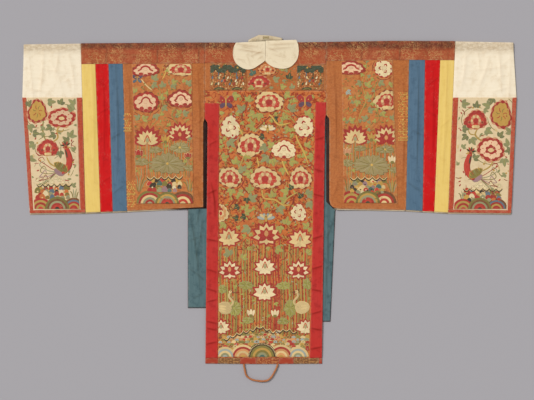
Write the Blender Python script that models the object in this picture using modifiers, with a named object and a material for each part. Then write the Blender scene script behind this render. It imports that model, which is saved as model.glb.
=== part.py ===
"""A bridal robe laid face down on a flat surface, its back uppermost and its collar towards +Y.

The robe is cut like a T: two wide straight sleeves pieced from bands of silk, a narrow bordered
back panel, two front panels that lie underneath with their lining showing beside the back, and
a white collar turned down at the neck. Left is -X, as seen from above. The origin is on the
surface, under the middle of the cloth without its hem loop. Sizes are in millimetres, and
MM turns them into metres.
"""

from math import cos, radians, sin, sqrt

import bmesh
import bpy
import numpy as np
from mathutils import Vector

MM = 0.001

# Cloth
CLOTH = 1.8  # silk, paper interlining and backing, worked as one panel
LINING = 1.0
APPLIED = 0.9  # a piece sewn flat on a panel
SEAM = 0.3
COLLAR = 1.2
STAND = 1.5
CORD = 7.0

# Outline
MIDDLE = -15.0
SHOULDER = (  # x, y of the folded top edge
    (-884, 558),
    (-679, 561),
    (-230, 564),
    (MIDDLE, 563),
    (200, 566),
    (450, 570),
    (668, 569),
    (877, 565),
)
YOKE_SEAM = 392
YOKE_LEVEL = 480  # a level across the yoke, below the collar and above the seam
PANEL_HEM = -570
BAND_HEM = ((-231, -590), (-40, -592), (189, -590.5))  # x, y of the lower edge of the hem band

# Folded top edge: both leaves turn round one small radius
FOLD = 3.5
FOLD_INNER = CLOTH + SEAM
BACK_TURN = (90, 68, 45, 24, 9, 6)  # degrees above the level of the fold's middle
FRONT_TURN = (-6, -9, -24, -45, -68, -90)
WRAP_TURN = (90, 68, 45, 24, 9, -9, -40)
ROLL = (  # distance below the top edge, rise of the back leaf towards the fold
    (FOLD, 2 * FOLD - 2 * CLOTH - SEAM),
    (15, 2.6),
    (35, 1.2),
    (60, 0),
)

NEAR_TOP = (35, 15)  # distances below the top edge where the body's rows follow it

# Back panel: height of its underside, which bulges between the creases of long storage
BACK_LIFT = (  # y, height
    (-570, 0),
    (-514, 0),
    (-497, 0.5),
    (-480, 1.7),
    (-462, 2.9),
    (-444, 3.4),
    (-398, 4.2),
    (-352, 3.9),
    (-326, 3.4),
    (-290, 4.2),
    (-209, 4.9),
    (-130, 4.2),
    (-92, 3.4),
    (-58, 4.1),
    (16, 4.8),
    (90, 4.1),
    (124, 3.4),
    (150, 4.0),
    (178, 4.5),
    (205, 4.0),
    (232, 3.4),
    (262, 3.9),
    (300, 4.3),
    (350, 4.0),
    (392, 3.6),
    (420, 3.9),
    (455, 4.0),
    (486, 3.7),
    (503, 3.4),
)
LAST_LEVEL = BACK_LIFT[-1][0]
PATCH_ABOVE_SEAM = 1

# Sleeves: ripples of the back leaf die out towards the hem and the fold
RIPPLE_ABOVE_HEM = ((0, 0), (11, 0.15), (42, 0.45), (70, 0.75), (110, 1))
RIPPLE_BELOW_TOP = ((FOLD, 0), (15, 0.25), (35, 0.6), (60, 1))
BULGE_BELOW_HEM = 20  # the cuff's curved side is straight again here and below the top
BULGE_BELOW_TOP = 10
HEM_BORDER = 11
FIELD_RISE = 22
CUFF_PANEL_TOP = 367
HIGH_ROW = 110  # distance below the top edge of a row above the cuff's panel
LINING_EDGE = 4.5  # how far the front leaf shows below the back leaf
SLIT_TURN = 12  # the length over which sleeve and body part below the armhole
FLARE_CLEARANCE = CLOTH + LINING + 2 * SEAM
FLARE_DROP = 74
FLARE_FADE = 80

# leaf_edge is the free edge of the front leaf, below the armhole and at the hem
LEFT_SLEEVE = {
    "name": "left",
    "armhole": -233,
    "armhole_bottom": 290,
    "free_edge": -238,
    "leaf_edge": (-224, -227.2),
    "corner": 0,
    "strip": 74,
    "flare_reach": 64,
    "cuff_bulge": -12,
    "hem": ((-889, -50), (-662, -46.6), (-512, -41), (-233, -27)),
    "lines": (  # line, x at the top edge, x at the hem, ripple
        ("armhole", -233, -238, 1.3),
        ("ridge", -262, -264, 1.9),
        ("field_in", -279, -272, 1.7),
        ("flare", -297, -297, 1.2),
        ("ridge", -335, -333, 0.9),
        ("ridge", -375, -374, 1.8),
        ("ridge", -415, -410, 2.4),
        ("ridge", -456, -445, 1.2),
        ("field_out", -498, -480, 0.9),
        ("panel_blue", -530, -512, 1.5),
        ("ridge", -555, -538, 2.1),
        ("blue_red", -581, -564, 1.4),
        ("ridge", -605, -586, 0.8),
        ("red_yellow", -629, -608, 1.2),
        ("ridge", -654, -635, 1.8),
        ("yellow_cuff", -678.5, -662, 1.2),
        ("border_in", -697, -680, 0.9),
        ("ridge", -738, -719, 1.7),
        ("ridge", -783, -762, 2.3),
        ("ridge", -828, -806, 1.2),
        ("border_out", -870, -848, 0.6),
        ("cuff_edge", -884, -862, 0.4),
    ),
}
RIGHT_SLEEVE = {
    "name": "right",
    "armhole": 203.3,
    "armhole_bottom": 304,
    "free_edge": 215,
    "leaf_edge": (203.9, 203.9),
    "corner": 29,
    "strip": 68,
    "flare_reach": 44,
    "cuff_bulge": 14.5,
    "hem": ((203, -32), (491, -37.6), (643, -46.6), (889, -50)),
    "lines": (
        ("armhole", 203.3, 215, 1.3),
        ("corner", 214, 219.5, 1.5),
        ("corner", 222, 228, 1.7),
        ("flare", 240, 246, 1.9),
        ("field_in", 257.5, 266.5, 1.5),
        ("ridge", 300, 303, 0.8),
        ("ridge", 341, 342, 1.6),
        ("ridge", 380, 382, 2.5),
        ("ridge", 412, 423, 1.7),
        ("field_out", 441, 462, 1.0),
        ("panel_blue", 503.5, 491, 1.6),
        ("ridge", 532, 521, 2.2),
        ("blue_red", 560.5, 551, 1.2),
        ("ridge", 589, 572, 1.9),
        ("red_yellow", 617, 593, 1.1),
        ("ridge", 642, 618, 0.7),
        ("yellow_cuff", 668, 643, 1.3),
        ("border_in", 686, 661, 1.7),
        ("ridge", 731, 711, 0.9),
        ("ridge", 777, 763, 1.5),
        ("ridge", 822, 811, 2.2),
        ("border_out", 863, 855, 0.9),
        ("cuff_edge", 877, 869, 0.5),
    ),
}

# Body: seam and free edge on each side, as x at a level y
FREE_TOP_LEVEL = 300
BODY_SIDES = {  # free_top and free_hem are x at that level and at the hem
    "left": {"seam": -233, "armhole_bottom": 290, "free_top": -222.5, "free_hem": -230.5},
    "right": {"seam": 203.3, "armhole_bottom": 304, "free_top": 200, "free_hem": 189},
}
BORDERS = {  # top level, x of the inner edge there and at the hem band
    "left": {"top": 346.5, "inner_top": -181, "inner_hem": -186.5},
    "right": {"top": 350, "inner_top": 165.6, "inner_hem": 144.5},
}
HEM_BAND_CUTS = (-231, -185, -106, -46.4, 34, 87, 178, 189)  # x of the joins along the hem band
YOKE_STRIPS = {  # from side seam to inner end, and the level of the lower edge
    "left": {"inner": -80, "level": 491},
    "right": {"inner": 50, "level": 486},
}
YOKE_PATCHES = {
    "left": {"outer": -215, "inner": -83},
    "right": {"outer": 196, "inner": 97},
}
FRONTS = {  # slit_x is the side in the slit, and flare_x where it reaches its full width
    "left": {"slit_x": -223.4, "flare_start": 62, "flare_x": -294, "hem_x": -294, "hem": -390},
    "right": {"slit_x": 203.3, "flare_start": 230, "flare_x": 237, "hem_x": 219, "hem": -439},
}
FLARE_LEVEL = -36
LINING_INSET = 1.5
LINING_BELOW_TOP = 12

# Neck
NECK_HALF_TOP = 105
NECK_HALF_POINT = 48
NECK_POINT = 264
BAND_HALF_TOP = 50
BAND_HALF_POINT = 3
BACK_NECK_RADIUS = 90
BACK_NECK_DEPTH = 20
CUTTER_REACH = 20  # how far a cutter runs past the cloth
DRUM_SIDES = 48
COLLAR_LIFT = SEAM + APPLIED + SEAM
LEFT_LOBE = (  # x, y where a row starts at the middle, x, y where it ends at the outer edge
    (-14.2, 569.5, -121, 563.5),
    (-14.3, 556, -128, 549),
    (-14.5, 538, -131.5, 530),
    (-14.8, 518, -129.5, 510),
    (-15.6, 498, -123, 494),
    (-30, 489, -114, 483.5),
    (-44, 480, -102, 475),
    (-57, 472, -90, 469.5),
    (-68, 468.3, -80, 467.5),
)
RIGHT_LOBE = (
    (-13.8, 571, 96.5, 574),
    (-13.8, 556, 103, 558),
    (-13.9, 538, 105.3, 537),
    (-14.2, 518, 103.5, 517),
    (-15.2, 498, 98, 500.5),
    (-6, 488, 88.5, 488),
    (6, 480, 79, 479),
    (22, 473.5, 66, 472.8),
    (38, 470.2, 54, 470),
)
NECK_STAND = (  # x, y where the upper leaf leaves the lobes, y of the fold
    (-76, 566.4, 573.5),
    (-69, 566.8, 577.5),
    (-54, 567.7, 584.5),
    (-38.5, 568.6, 592),
    (-14, 571.4, 591),
    (2, 571.8, 589.5),
    (24, 572.4, 585.5),
    (40, 572.9, 582),
    (46, 573, 580.5),
)
STAND_TURN = (90, 60, 30, 0, -30, -60, -90)
STAND_END = 562.1
BAND_END = STAND_END - SEAM

# Hem loop: its route from one end of the loop to the other, x and y
LOOP_ROUTE = (
    (-92, -591.9),
    (-91.9, -597),
    (-90.6, -604),
    (-88.2, -615.4),
    (-84.5, -630),
    (-75.2, -641),
    (-58, -649),
    (-29, -653.2),
    (-9, -651),
    (4, -642),
    (13, -629),
    (20.5, -615.4),
    (26, -604),
    (28.4, -597),
    (28.8, -592.1),
)
LOOP_STEPS = 2

COLOURS = {  # red, green, blue as seen, 0 to 255
    "orange_silk": (184, 104, 56),
    "orange_brocade": (173, 102, 65),
    "olive_brocade": (150, 110, 62),
    "embroidered_silk": (178, 120, 74),
    "crimson_silk": (183, 40, 44),
    "orange_red_silk": (190, 80, 50),
    "blue_silk": (81, 110, 130),
    "red_silk": (202, 39, 37),
    "yellow_silk": (236, 199, 106),
    "white_silk": (244, 230, 205),
    "cream_silk": (225, 205, 170),
    "teal_silk": (88, 110, 112),
    "collar_paper": (232, 217, 187),
    "loop_cloth": (172, 104, 62),
}


def along(table, place):
    """The second column of a table, read at a place in its first."""
    places, values = zip(*table)
    return float(np.interp(place, places, values))


def between(start, end, share):
    return start + (end - start) * share


def shoulder(x):
    return along(SHOULDER, x)


def finish(name):
    """The plain material of one piece, shared by the pieces of the same cloth."""
    material = bpy.data.materials.get(name)
    if material:
        return material
    material = bpy.data.materials.new(name)
    material.use_nodes = True
    shader = material.node_tree.nodes["Principled BSDF"]
    linear = [((c / 255 + 0.055) / 1.055) ** 2.4 for c in COLOURS[name]]
    shader.inputs["Base Color"].default_value = (*linear, 1)
    shader.inputs["Roughness"].default_value = 0.6
    shader.inputs["Metallic"].default_value = 0
    return material


def add_object(name, data, collection):
    piece = bpy.data.objects.new(name, data)
    collection.objects.link(piece)
    return piece


def add_wall(name, columns, rows, point, thickness, cloth, face_down=False):
    """A wall of cloth: a sheet of point(column, row), thickened away from its outer face."""
    sheet = bmesh.new()
    bmesh.ops.create_grid(sheet, x_segments=columns - 1, y_segments=rows - 1, size=1)
    for vertex in sheet.verts:
        column = round((vertex.co.x + 1) / 2 * (columns - 1))
        row = round((vertex.co.y + 1) / 2 * (rows - 1))
        vertex.co = Vector(point(column, row)) * MM
    if face_down:
        bmesh.ops.reverse_faces(sheet, faces=sheet.faces)
    mesh = bpy.data.meshes.new(name)
    sheet.to_mesh(mesh)
    sheet.free()
    mesh.materials.append(finish(cloth))
    wall = add_object(name, mesh, robe)
    solidify = wall.modifiers.new("Thickness", "SOLIDIFY")
    solidify.thickness = thickness * MM
    solidify.offset = -1
    solidify.use_even_offset = True
    return wall


def cut(wall, cutter):
    boolean = wall.modifiers.new("Neck", "BOOLEAN")
    boolean.operation = "DIFFERENCE"
    boolean.object = cutter


def seam_nudge(index, count):
    """Half the seam's gap, inwards, at the first and last line of a piece."""
    if index == 0:
        return SEAM / 2
    return -SEAM / 2 if index == count - 1 else 0


def stations(table, first, last):
    """The rows of a table from one named row to another."""
    names = [row[0] for row in table]
    return table[names.index(first) : names.index(last) + 1]


def on_fold(top, angle, lift):
    """y and z on the folded top edge, at an angle round it and moved out by lift."""
    reach = FOLD + lift
    return top - FOLD + reach * cos(radians(angle)), FOLD + reach * sin(radians(angle))


# Sleeves
def sleeve_rows(sleeve):
    """Row, the edge it is measured from, and the distance, from the hem up."""
    return [
        ("hem", "hem", 0),
        ("border", "hem", HEM_BORDER),
        ("field", "hem", FIELD_RISE),
        *[("low", "hem", height) for height, _ in RIPPLE_ABOVE_HEM[2:]],
        ("mid", "level", sleeve["armhole_bottom"] - 2 * FLARE_DROP),
        ("mid", "level", sleeve["armhole_bottom"] - FLARE_DROP),
        ("mid", "level", sleeve["armhole_bottom"] - SLIT_TURN),
        ("mid", "level", sleeve["armhole_bottom"]),
        ("panel_top", "level", CUFF_PANEL_TOP),
        ("high", "top", -HIGH_ROW),
        ("strip", "top", -sleeve["strip"]),
        ("high", "top", -60),
        ("high", "top", -35),
        ("last", "top", -15),
    ]


def sleeve_hem(sleeve, x):
    """The level of the hem, which rises round the inner corner."""
    radius = sleeve["corner"]
    inside = abs(x - sleeve["free_edge"])
    rise = radius - sqrt(radius**2 - (radius - inside) ** 2) if inside < radius else 0
    return along(sleeve["hem"], x) + rise


def row_level(sleeve, line, row):
    """y of a row where it crosses a line, away from the fold."""
    edge, distance = row[1:]
    if edge == "hem":
        return sleeve_hem(sleeve, line[2]) + distance
    return distance + (shoulder(line[1]) if edge == "top" else 0)


def armhole_x(sleeve, y, free):
    """x of the armhole seam at a level and, below its end, of an edge from free[0] to free[1]."""
    bottom = sleeve["armhole_bottom"]
    hem = along(sleeve["hem"], free[1])
    edge = between(*free, (bottom - y) / (bottom - hem))
    return between(sleeve["armhole"], edge, min(max((bottom - y) / SLIT_TURN, 0), 1))


def line_x(sleeve, line, y):
    """x of a line at a level: straight from the top to the hem, but for armhole and cuff."""
    name, top_x, hem_x = line[:3]
    if name == "armhole":
        return armhole_x(sleeve, y, (hem_x, hem_x))
    top, hem = shoulder(top_x), sleeve_hem(sleeve, hem_x)
    x = between(top_x, hem_x, (top - y) / (top - hem))
    inner = dict((row[0], row[1]) for row in sleeve["lines"])["yellow_cuff"]
    outwards = (top_x - inner) / (sleeve["lines"][-1][1] - inner)
    bulge = (
        (hem - BULGE_BELOW_HEM, 0),
        (CUFF_PANEL_TOP, sleeve["cuff_bulge"]),
        (top - BULGE_BELOW_TOP, 0),
    )
    return x + max(outwards, 0) * along(bulge, y)


def flare_lift(sleeve, x, y):
    """How far the sleeve is raised where the front panel lies under its inner corner."""
    inside = abs(x - sleeve["armhole"])
    across = along(((sleeve["flare_reach"], 1), (sleeve["flare_reach"] + FLARE_FADE, 0)), inside)
    down = along(((0, 0), (FLARE_DROP, 1)), sleeve["armhole_bottom"] - y)
    return FLARE_CLEARANCE * across * down


def back_leaf_point(sleeve, line, row, lift, nudge_x, nudge_y):
    if row[1] == "fold":
        y, z = on_fold(shoulder(line[1]), row[2], lift)
        return line[1] + nudge_x, y, z
    level = row_level(sleeve, line, row)
    x = line_x(sleeve, line, level)
    above_hem = level - sleeve_hem(sleeve, line[2])
    below_top = shoulder(line[1]) - level
    ripple = line[3] * along(RIPPLE_ABOVE_HEM, above_hem) * along(RIPPLE_BELOW_TOP, below_top)
    base = flare_lift(sleeve, x, level) + FOLD_INNER
    z = base + ripple + along(ROLL, below_top) + CLOTH + lift
    return x + nudge_x, level + nudge_y, z


def front_leaf_point(sleeve, line, row, nudge_x):
    if row[1] == "fold":
        y, z = on_fold(shoulder(line[1]), row[2], 0)
        return line[1] + nudge_x, y, z
    level = row_level(sleeve, line, row)
    if line[0] == "armhole":
        x = armhole_x(sleeve, level, sleeve["leaf_edge"])
    else:
        x = line_x(sleeve, line, level)
    return x + nudge_x, level, flare_lift(sleeve, x, level)


def sleeve_piece(sleeve, name, lines, rows, lift, thickness, cloth):
    """A piece of the sleeve's back, between two lines and two rows, lying lift above its leaf."""
    columns = sorted(stations(sleeve["lines"], *lines), key=lambda line: line[1])

    def point(column, row):
        nudge_y = seam_nudge(row, len(rows)) if lift else 0
        nudge_x = seam_nudge(column, len(columns))
        return back_leaf_point(sleeve, columns[column], rows[row], lift, nudge_x, nudge_y)

    return add_wall(f"{sleeve['name']}_{name}", len(columns), len(rows), point, thickness, cloth)


def front_leaf(sleeve, name, lines, rows, cloth):
    columns = sorted(stations(sleeve["lines"], *lines), key=lambda line: line[1])
    if name != "panel_front":
        columns = [columns[0], columns[-1]]

    def point(column, row):
        nudge_x = seam_nudge(column, len(columns))
        return front_leaf_point(sleeve, columns[column], rows[row], nudge_x)

    name = f"{sleeve['name']}_{name}"
    add_wall(name, len(columns), len(rows), point, CLOTH, cloth, face_down=True)


def add_sleeve(sleeve):
    flat = sleeve_rows(sleeve)
    back = flat + [("turn", "fold", angle) for angle in BACK_TURN]
    bands = (  # piece, line nearest the body, line furthest from it, cloth
        ("panel", "armhole", "panel_blue", "orange_silk"),
        ("blue_band", "panel_blue", "blue_red", "blue_silk"),
        ("red_band", "blue_red", "red_yellow", "red_silk"),
        ("yellow_band", "red_yellow", "yellow_cuff", "yellow_silk"),
        ("cuff", "yellow_cuff", "cuff_edge", "white_silk"),
    )
    hem = ("hem", "hem", -LINING_EDGE)
    turned = [("turn", "fold", angle) for angle in reversed(FRONT_TURN)]
    straight = [hem, ("panel_top", "level", CUFF_PANEL_TOP)] + turned
    shaped = [hem] + stations(flat, "border", "panel_top") + turned
    for piece, inner, outer, cloth in bands:
        sleeve_piece(sleeve, f"{piece}_back", (inner, outer), back, 0, CLOTH, cloth)
        rows = shaped if piece == "panel" else straight
        front_leaf(sleeve, f"{piece}_front", (inner, outer), rows, cloth)
    lift = SEAM + APPLIED
    hem_rows = stations(flat, "hem", "border")
    cuff_rows = stations(flat, "border", "panel_top")
    strip_rows = stations(flat, "strip", "last")
    strip_rows += [("turn", "fold", angle) for angle in WRAP_TURN]
    applied = (  # piece, lines, rows, cloth
        ("field", ("field_in", "field_out"), stations(flat, "field", "strip"), "embroidered_silk"),
        ("cuff_panel", ("border_in", "border_out"), cuff_rows, "cream_silk"),
        ("cuff_border_inner", ("yellow_cuff", "border_in"), cuff_rows, "orange_red_silk"),
        ("cuff_border_outer", ("border_out", "cuff_edge"), cuff_rows, "orange_red_silk"),
        ("cuff_border_hem", ("yellow_cuff", "cuff_edge"), hem_rows, "orange_red_silk"),
        ("sleeve_strip", ("armhole", "yellow_cuff"), strip_rows, "orange_brocade"),
    )
    for piece, lines, rows, cloth in applied:
        sleeve_piece(sleeve, piece, lines, rows, lift, APPLIED, cloth)


# Body
def body_side(side, y):
    """x of the body's side: the armhole seam, then the free edge of the back panel."""
    edge = BODY_SIDES[side]
    share = (y - PANEL_HEM) / (FREE_TOP_LEVEL - PANEL_HEM)
    free = between(edge["free_hem"], edge["free_top"], share)
    below = (edge["armhole_bottom"] - y) / SLIT_TURN
    return between(edge["seam"], free, min(max(below, 0), 1))


def border_inner(side, y):
    border = BORDERS[side]
    share = (border["top"] - y) / (border["top"] - PANEL_HEM)
    return between(border["inner_top"], border["inner_hem"], share)


def body_height(x, y):
    """Height of the back's outer face."""
    rolled = FOLD_INNER + along(ROLL, shoulder(x) - y)
    return max(along(BACK_LIFT, y), rolled) + CLOTH


def body_piece(name, lines, rows, lift, thickness, cloth):
    """A piece of the back. A line gives x at a level; a row is a level, a drop or a fold angle."""

    def point(column, row):
        kind, value = rows[row]
        nudge_x = seam_nudge(column, len(lines))
        if kind == "fold":
            x = lines[column](YOKE_LEVEL)
            y, z = on_fold(shoulder(x), value, lift)
            return x + nudge_x, y, z
        x = lines[column](value if kind == "level" else YOKE_LEVEL)
        y = value if kind == "level" else shoulder(x) - value
        nudge_y = seam_nudge(row, len(rows))
        return x + nudge_x, y + nudge_y, body_height(x, y) + lift

    return add_wall(name, len(lines), len(rows), point, thickness, cloth)


def levels(lowest, highest):
    """The table's own levels between two others, with both."""
    inner = [y for y, _ in BACK_LIFT if lowest < y < highest]
    return [("level", y) for y in [lowest, *inner, highest]]


def add_back():
    left = lambda y: body_side("left", y)
    right = lambda y: body_side("right", y)
    middle = lambda y: MIDDLE
    near_top = [("drop", drop) for drop in NEAR_TOP]
    turn = [("fold", angle) for angle in BACK_TURN]
    wrap = [("fold", angle) for angle in WRAP_TURN]
    yoke_rows = levels(YOKE_SEAM, LAST_LEVEL) + near_top + turn
    yoke = body_piece("back_yoke", (left, middle, right), yoke_rows, 0, CLOTH, "orange_silk")
    cut(yoke, back_neck_cutter)

    armholes = [edge["armhole_bottom"] for edge in BODY_SIDES.values()]
    extra = [("level", y - below) for y in armholes for below in (0, SLIT_TURN)]
    panel_rows = sorted(levels(PANEL_HEM, YOKE_SEAM) + extra, key=lambda row: row[1])
    body_piece("back_panel", (left, middle, right), panel_rows, 0, CLOTH, "embroidered_silk")

    lift = SEAM + APPLIED
    for side, border in BORDERS.items():
        rows = [("level", PANEL_HEM)] + [row for row in panel_rows[1:] if row[1] < border["top"]]
        rows.append(("level", border["top"]))
        outer = lambda y: body_side(side, y)
        inner = lambda y: border_inner(side, y)
        lines = (outer, inner) if side == "left" else (inner, outer)
        body_piece(f"back_border_{side}", lines, rows, lift, APPLIED, "crimson_silk")

    for side, strip in YOKE_STRIPS.items():
        outer = lambda y: BODY_SIDES[side]["seam"]
        inner = lambda y: strip["inner"]
        lines = (outer, inner) if side == "left" else (inner, outer)
        rows = levels(strip["level"], LAST_LEVEL) + near_top + wrap
        body_piece(f"shoulder_strip_{side}", lines, rows, lift, APPLIED, "orange_brocade")
        patch = YOKE_PATCHES[side]
        edges = sorted((patch["outer"], patch["inner"]))
        lines = [lambda y, x=x: x for x in edges]
        rows = levels(YOKE_SEAM + PATCH_ABOVE_SEAM, strip["level"])
        body_piece(f"yoke_patch_{side}", lines, rows, lift, APPLIED, "olive_brocade")


def add_hem_band():
    """Short lengths of silk joined end to end along the foot of the back."""
    cloths = ("orange_red_silk", "olive_brocade", "orange_red_silk", "orange_brocade")
    cloths += ("orange_red_silk", "olive_brocade", "orange_red_silk")
    joins = zip(HEM_BAND_CUTS, HEM_BAND_CUTS[1:], cloths)
    for number, (start, end, cloth) in enumerate(joins, 1):
        ends = (start + SEAM / 2, end - SEAM / 2)

        def point(column, row):
            x = ends[column]
            y = PANEL_HEM - SEAM / 2 if row else along(BAND_HEM, x)
            return x, y, CLOTH

        add_wall(f"hem_band_{number}", 2, 2, point, CLOTH, cloth)


# Fronts
def front_side(side, y):
    """x of a front's side: the armhole seam, a flare under the sleeve, then down to the hem."""
    front = FRONTS[side]
    edge = BODY_SIDES[side]
    path = (
        (front["hem"], front["hem_x"]),
        (FLARE_LEVEL, front["flare_x"]),
        (front["flare_start"], front["slit_x"]),
        (edge["armhole_bottom"] - SLIT_TURN, front["slit_x"]),
        (edge["armhole_bottom"], edge["seam"]),
    )
    return along(path, y)


def add_front(side):
    outwards = -1 if side == "left" else 1
    front = FRONTS[side]
    bottom = BODY_SIDES[side]["armhole_bottom"]
    flat = [front["hem"], FLARE_LEVEL, front["flare_start"], NECK_POINT]
    flat += [bottom - SLIT_TURN, bottom, YOKE_LEVEL]
    turn = [("fold", angle) for angle in reversed(FRONT_TURN)]

    def panel_point(column, row):
        inside = (column == 1) == (side == "left")
        if row < len(flat):
            y, z = flat[row], 0
        else:
            x = MIDDLE if inside else BODY_SIDES[side]["seam"]
            y, z = on_fold(shoulder(x), turn[row - len(flat)][1], 0)
        x = MIDDLE if inside else front_side(side, y)
        return x - outwards * (-SEAM / 2 if inside else SEAM / 2), y, z

    rows = len(flat) + len(turn)
    panel = add_wall(f"front_{side}", 2, rows, panel_point, CLOTH, "red_silk", face_down=True)

    def lining_point(column, row):
        inside = (column == 1) == (side == "left")
        y = flat[row] if row < len(flat) else shoulder(BODY_SIDES[side]["seam"]) - LINING_BELOW_TOP
        y += LINING_INSET if row == 0 else 0
        x = MIDDLE if inside else front_side(side, y)
        inset = -SEAM / 2 if inside else LINING_INSET
        return x - outwards * inset, y, FOLD_INNER + LINING

    rows = len(flat) + 1
    lining = add_wall(f"front_lining_{side}", 2, rows, lining_point, LINING, "teal_silk")
    for wall in (panel, lining):
        cut(wall, neckline_cutter)


# Neck
def add_neckline_cutter():
    """A tapering block that opens the fronts at the neck."""
    block = bmesh.new()
    bmesh.ops.create_cube(block, size=1)
    for vertex in block.verts:
        at_top = vertex.co.y > 0
        half = NECK_HALF_TOP if at_top else NECK_HALF_POINT
        y = shoulder(MIDDLE) if at_top else NECK_POINT
        x = MIDDLE + (half if vertex.co.x > 0 else -half)
        if at_top:
            beyond = (NECK_HALF_TOP - NECK_HALF_POINT) / (y - NECK_POINT) * CUTTER_REACH
            x += beyond if vertex.co.x > 0 else -beyond
            y += CUTTER_REACH
        z = CUTTER_REACH if vertex.co.z > 0 else -CUTTER_REACH
        vertex.co = Vector((x, y, z)) * MM
    mesh = bpy.data.meshes.new("neckline_cutter")
    block.to_mesh(mesh)
    block.free()
    return add_cutter("neckline_cutter", mesh)


def add_back_neck_cutter():
    """A drum that hollows the back of the neck."""
    drum = bmesh.new()
    radius = BACK_NECK_RADIUS * MM
    depth = 2 * CUTTER_REACH * MM
    bmesh.ops.create_cone(
        drum, cap_ends=True, segments=DRUM_SIDES, radius1=radius, radius2=radius, depth=depth
    )
    middle = Vector((MIDDLE, shoulder(MIDDLE) - BACK_NECK_DEPTH + BACK_NECK_RADIUS, 0)) * MM
    bmesh.ops.translate(drum, vec=middle, verts=drum.verts)
    mesh = bpy.data.meshes.new("back_neck_cutter")
    drum.to_mesh(mesh)
    drum.free()
    return add_cutter("back_neck_cutter", mesh)


def add_cutter(name, mesh):
    cutter = add_object(name, mesh, cutters)
    cutter.hide_render = True
    cutter.display_type = "WIRE"
    return cutter


def add_neck_bands():
    """The collar's two straight bands, which run down the fronts underneath."""
    for side, outwards in (("left", -1), ("right", 1)):

        def point(column, row):
            outside = (column == 0) == (side == "left")
            if outside:
                half = NECK_HALF_TOP if row else NECK_HALF_POINT
                half -= SEAM
            else:
                half = BAND_HALF_TOP if row else BAND_HALF_POINT
            return MIDDLE + outwards * half, BAND_END if row else NECK_POINT + SEAM, CLOTH

        add_wall(f"neck_band_{side}", 2, 2, point, CLOTH, "collar_paper")


def add_neck_stand():
    """The collar's fold behind the neck, from the lobes over its own edge and back underneath."""
    def point(column, row):
        x, start, top = NECK_STAND[column]
        if row == 0:
            lobe_top = body_height(x, start) + COLLAR_LIFT + COLLAR
            fall = lobe_top - 2 * FOLD
            lean = STAND * fall / sqrt(fall**2 + (top - FOLD - start) ** 2)
            return x, start + lean, lobe_top
        if row <= len(STAND_TURN):
            y, z = on_fold(top, STAND_TURN[row - 1], 0)
            return x, y, z
        return x, STAND_END, 0

    add_wall("neck_stand", len(NECK_STAND), len(STAND_TURN) + 2, point, STAND, "collar_paper")


def add_lobe(name, rows, columns=7):
    """One turned-down half of the collar, lying on the yoke and its strip."""
    rows = rows[::-1]

    def point(column, row):
        inner_x, inner_y, outer_x, outer_y = rows[row]
        share = column / (columns - 1)
        share = 1 - share if outer_x < inner_x else share
        x = between(inner_x, outer_x, share)
        y = between(inner_y, outer_y, share)
        return x, y, body_height(x, y) + COLLAR_LIFT + COLLAR

    add_wall(name, columns, len(rows), point, COLLAR, "collar_paper")


# Hem loop
def smooth_route(route, steps):
    """Points of a smooth curve through the route's own points."""
    points = [Vector(place) for place in route]
    ends = [2 * points[0] - points[1], *points, 2 * points[-1] - points[-2]]
    path = []
    for a, b, c, d in zip(ends, ends[1:], ends[2:], ends[3:]):
        for step in range(steps):
            t = step / steps
            bend = 2 * a - 5 * b + 4 * c - d
            twist = 3 * b - a - 3 * c + d
            path.append((2 * b + (c - a) * t + bend * t**2 + twist * t**3) / 2)
    return [*path, points[-1]]


def add_loop():
    path = smooth_route(LOOP_ROUTE, LOOP_STEPS)
    curve = bpy.data.curves.new("hem_loop", "CURVE")
    curve.dimensions = "3D"
    curve.bevel_depth = CORD / 2 * MM
    curve.bevel_resolution = 2
    curve.use_fill_caps = True
    spline = curve.splines.new("POLY")
    spline.points.add(len(path) - 1)
    for node, place in zip(spline.points, path):
        node.co = (place.x * MM, place.y * MM, CORD / 2 * MM, 1)
    curve.materials.append(finish("loop_cloth"))
    add_object("hem_loop", curve, robe)


for old in list(bpy.data.objects):
    bpy.data.objects.remove(old, do_unlink=True)
robe = bpy.data.collections.new("bridal_robe")
cutters = bpy.data.collections.new("cutters")
bpy.context.scene.collection.children.link(robe)
bpy.context.scene.collection.children.link(cutters)

neckline_cutter = add_neckline_cutter()
back_neck_cutter = add_back_neck_cutter()
add_sleeve(LEFT_SLEEVE)
add_sleeve(RIGHT_SLEEVE)
add_back()
add_hem_band()
add_front("left")
add_front("right")
add_neck_bands()
add_neck_stand()
add_lobe("collar_lobe_left", LEFT_LOBE)
add_lobe("collar_lobe_right", RIGHT_LOBE)
add_loop()
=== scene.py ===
"""Looks of a bridal robe that lies flat with its back uppermost, seen from straight above.

Left is -X, as seen from above. Sizes in the tables are in millimetres, and MM turns them
into metres. Colours are red, green and blue as seen, 0 to 255.
"""

import random
from math import ceil, cos, hypot, pi, radians, sin, tau

import bmesh
import bpy
import numpy as np
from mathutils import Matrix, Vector
from mathutils.bvhtree import BVHTree


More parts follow.
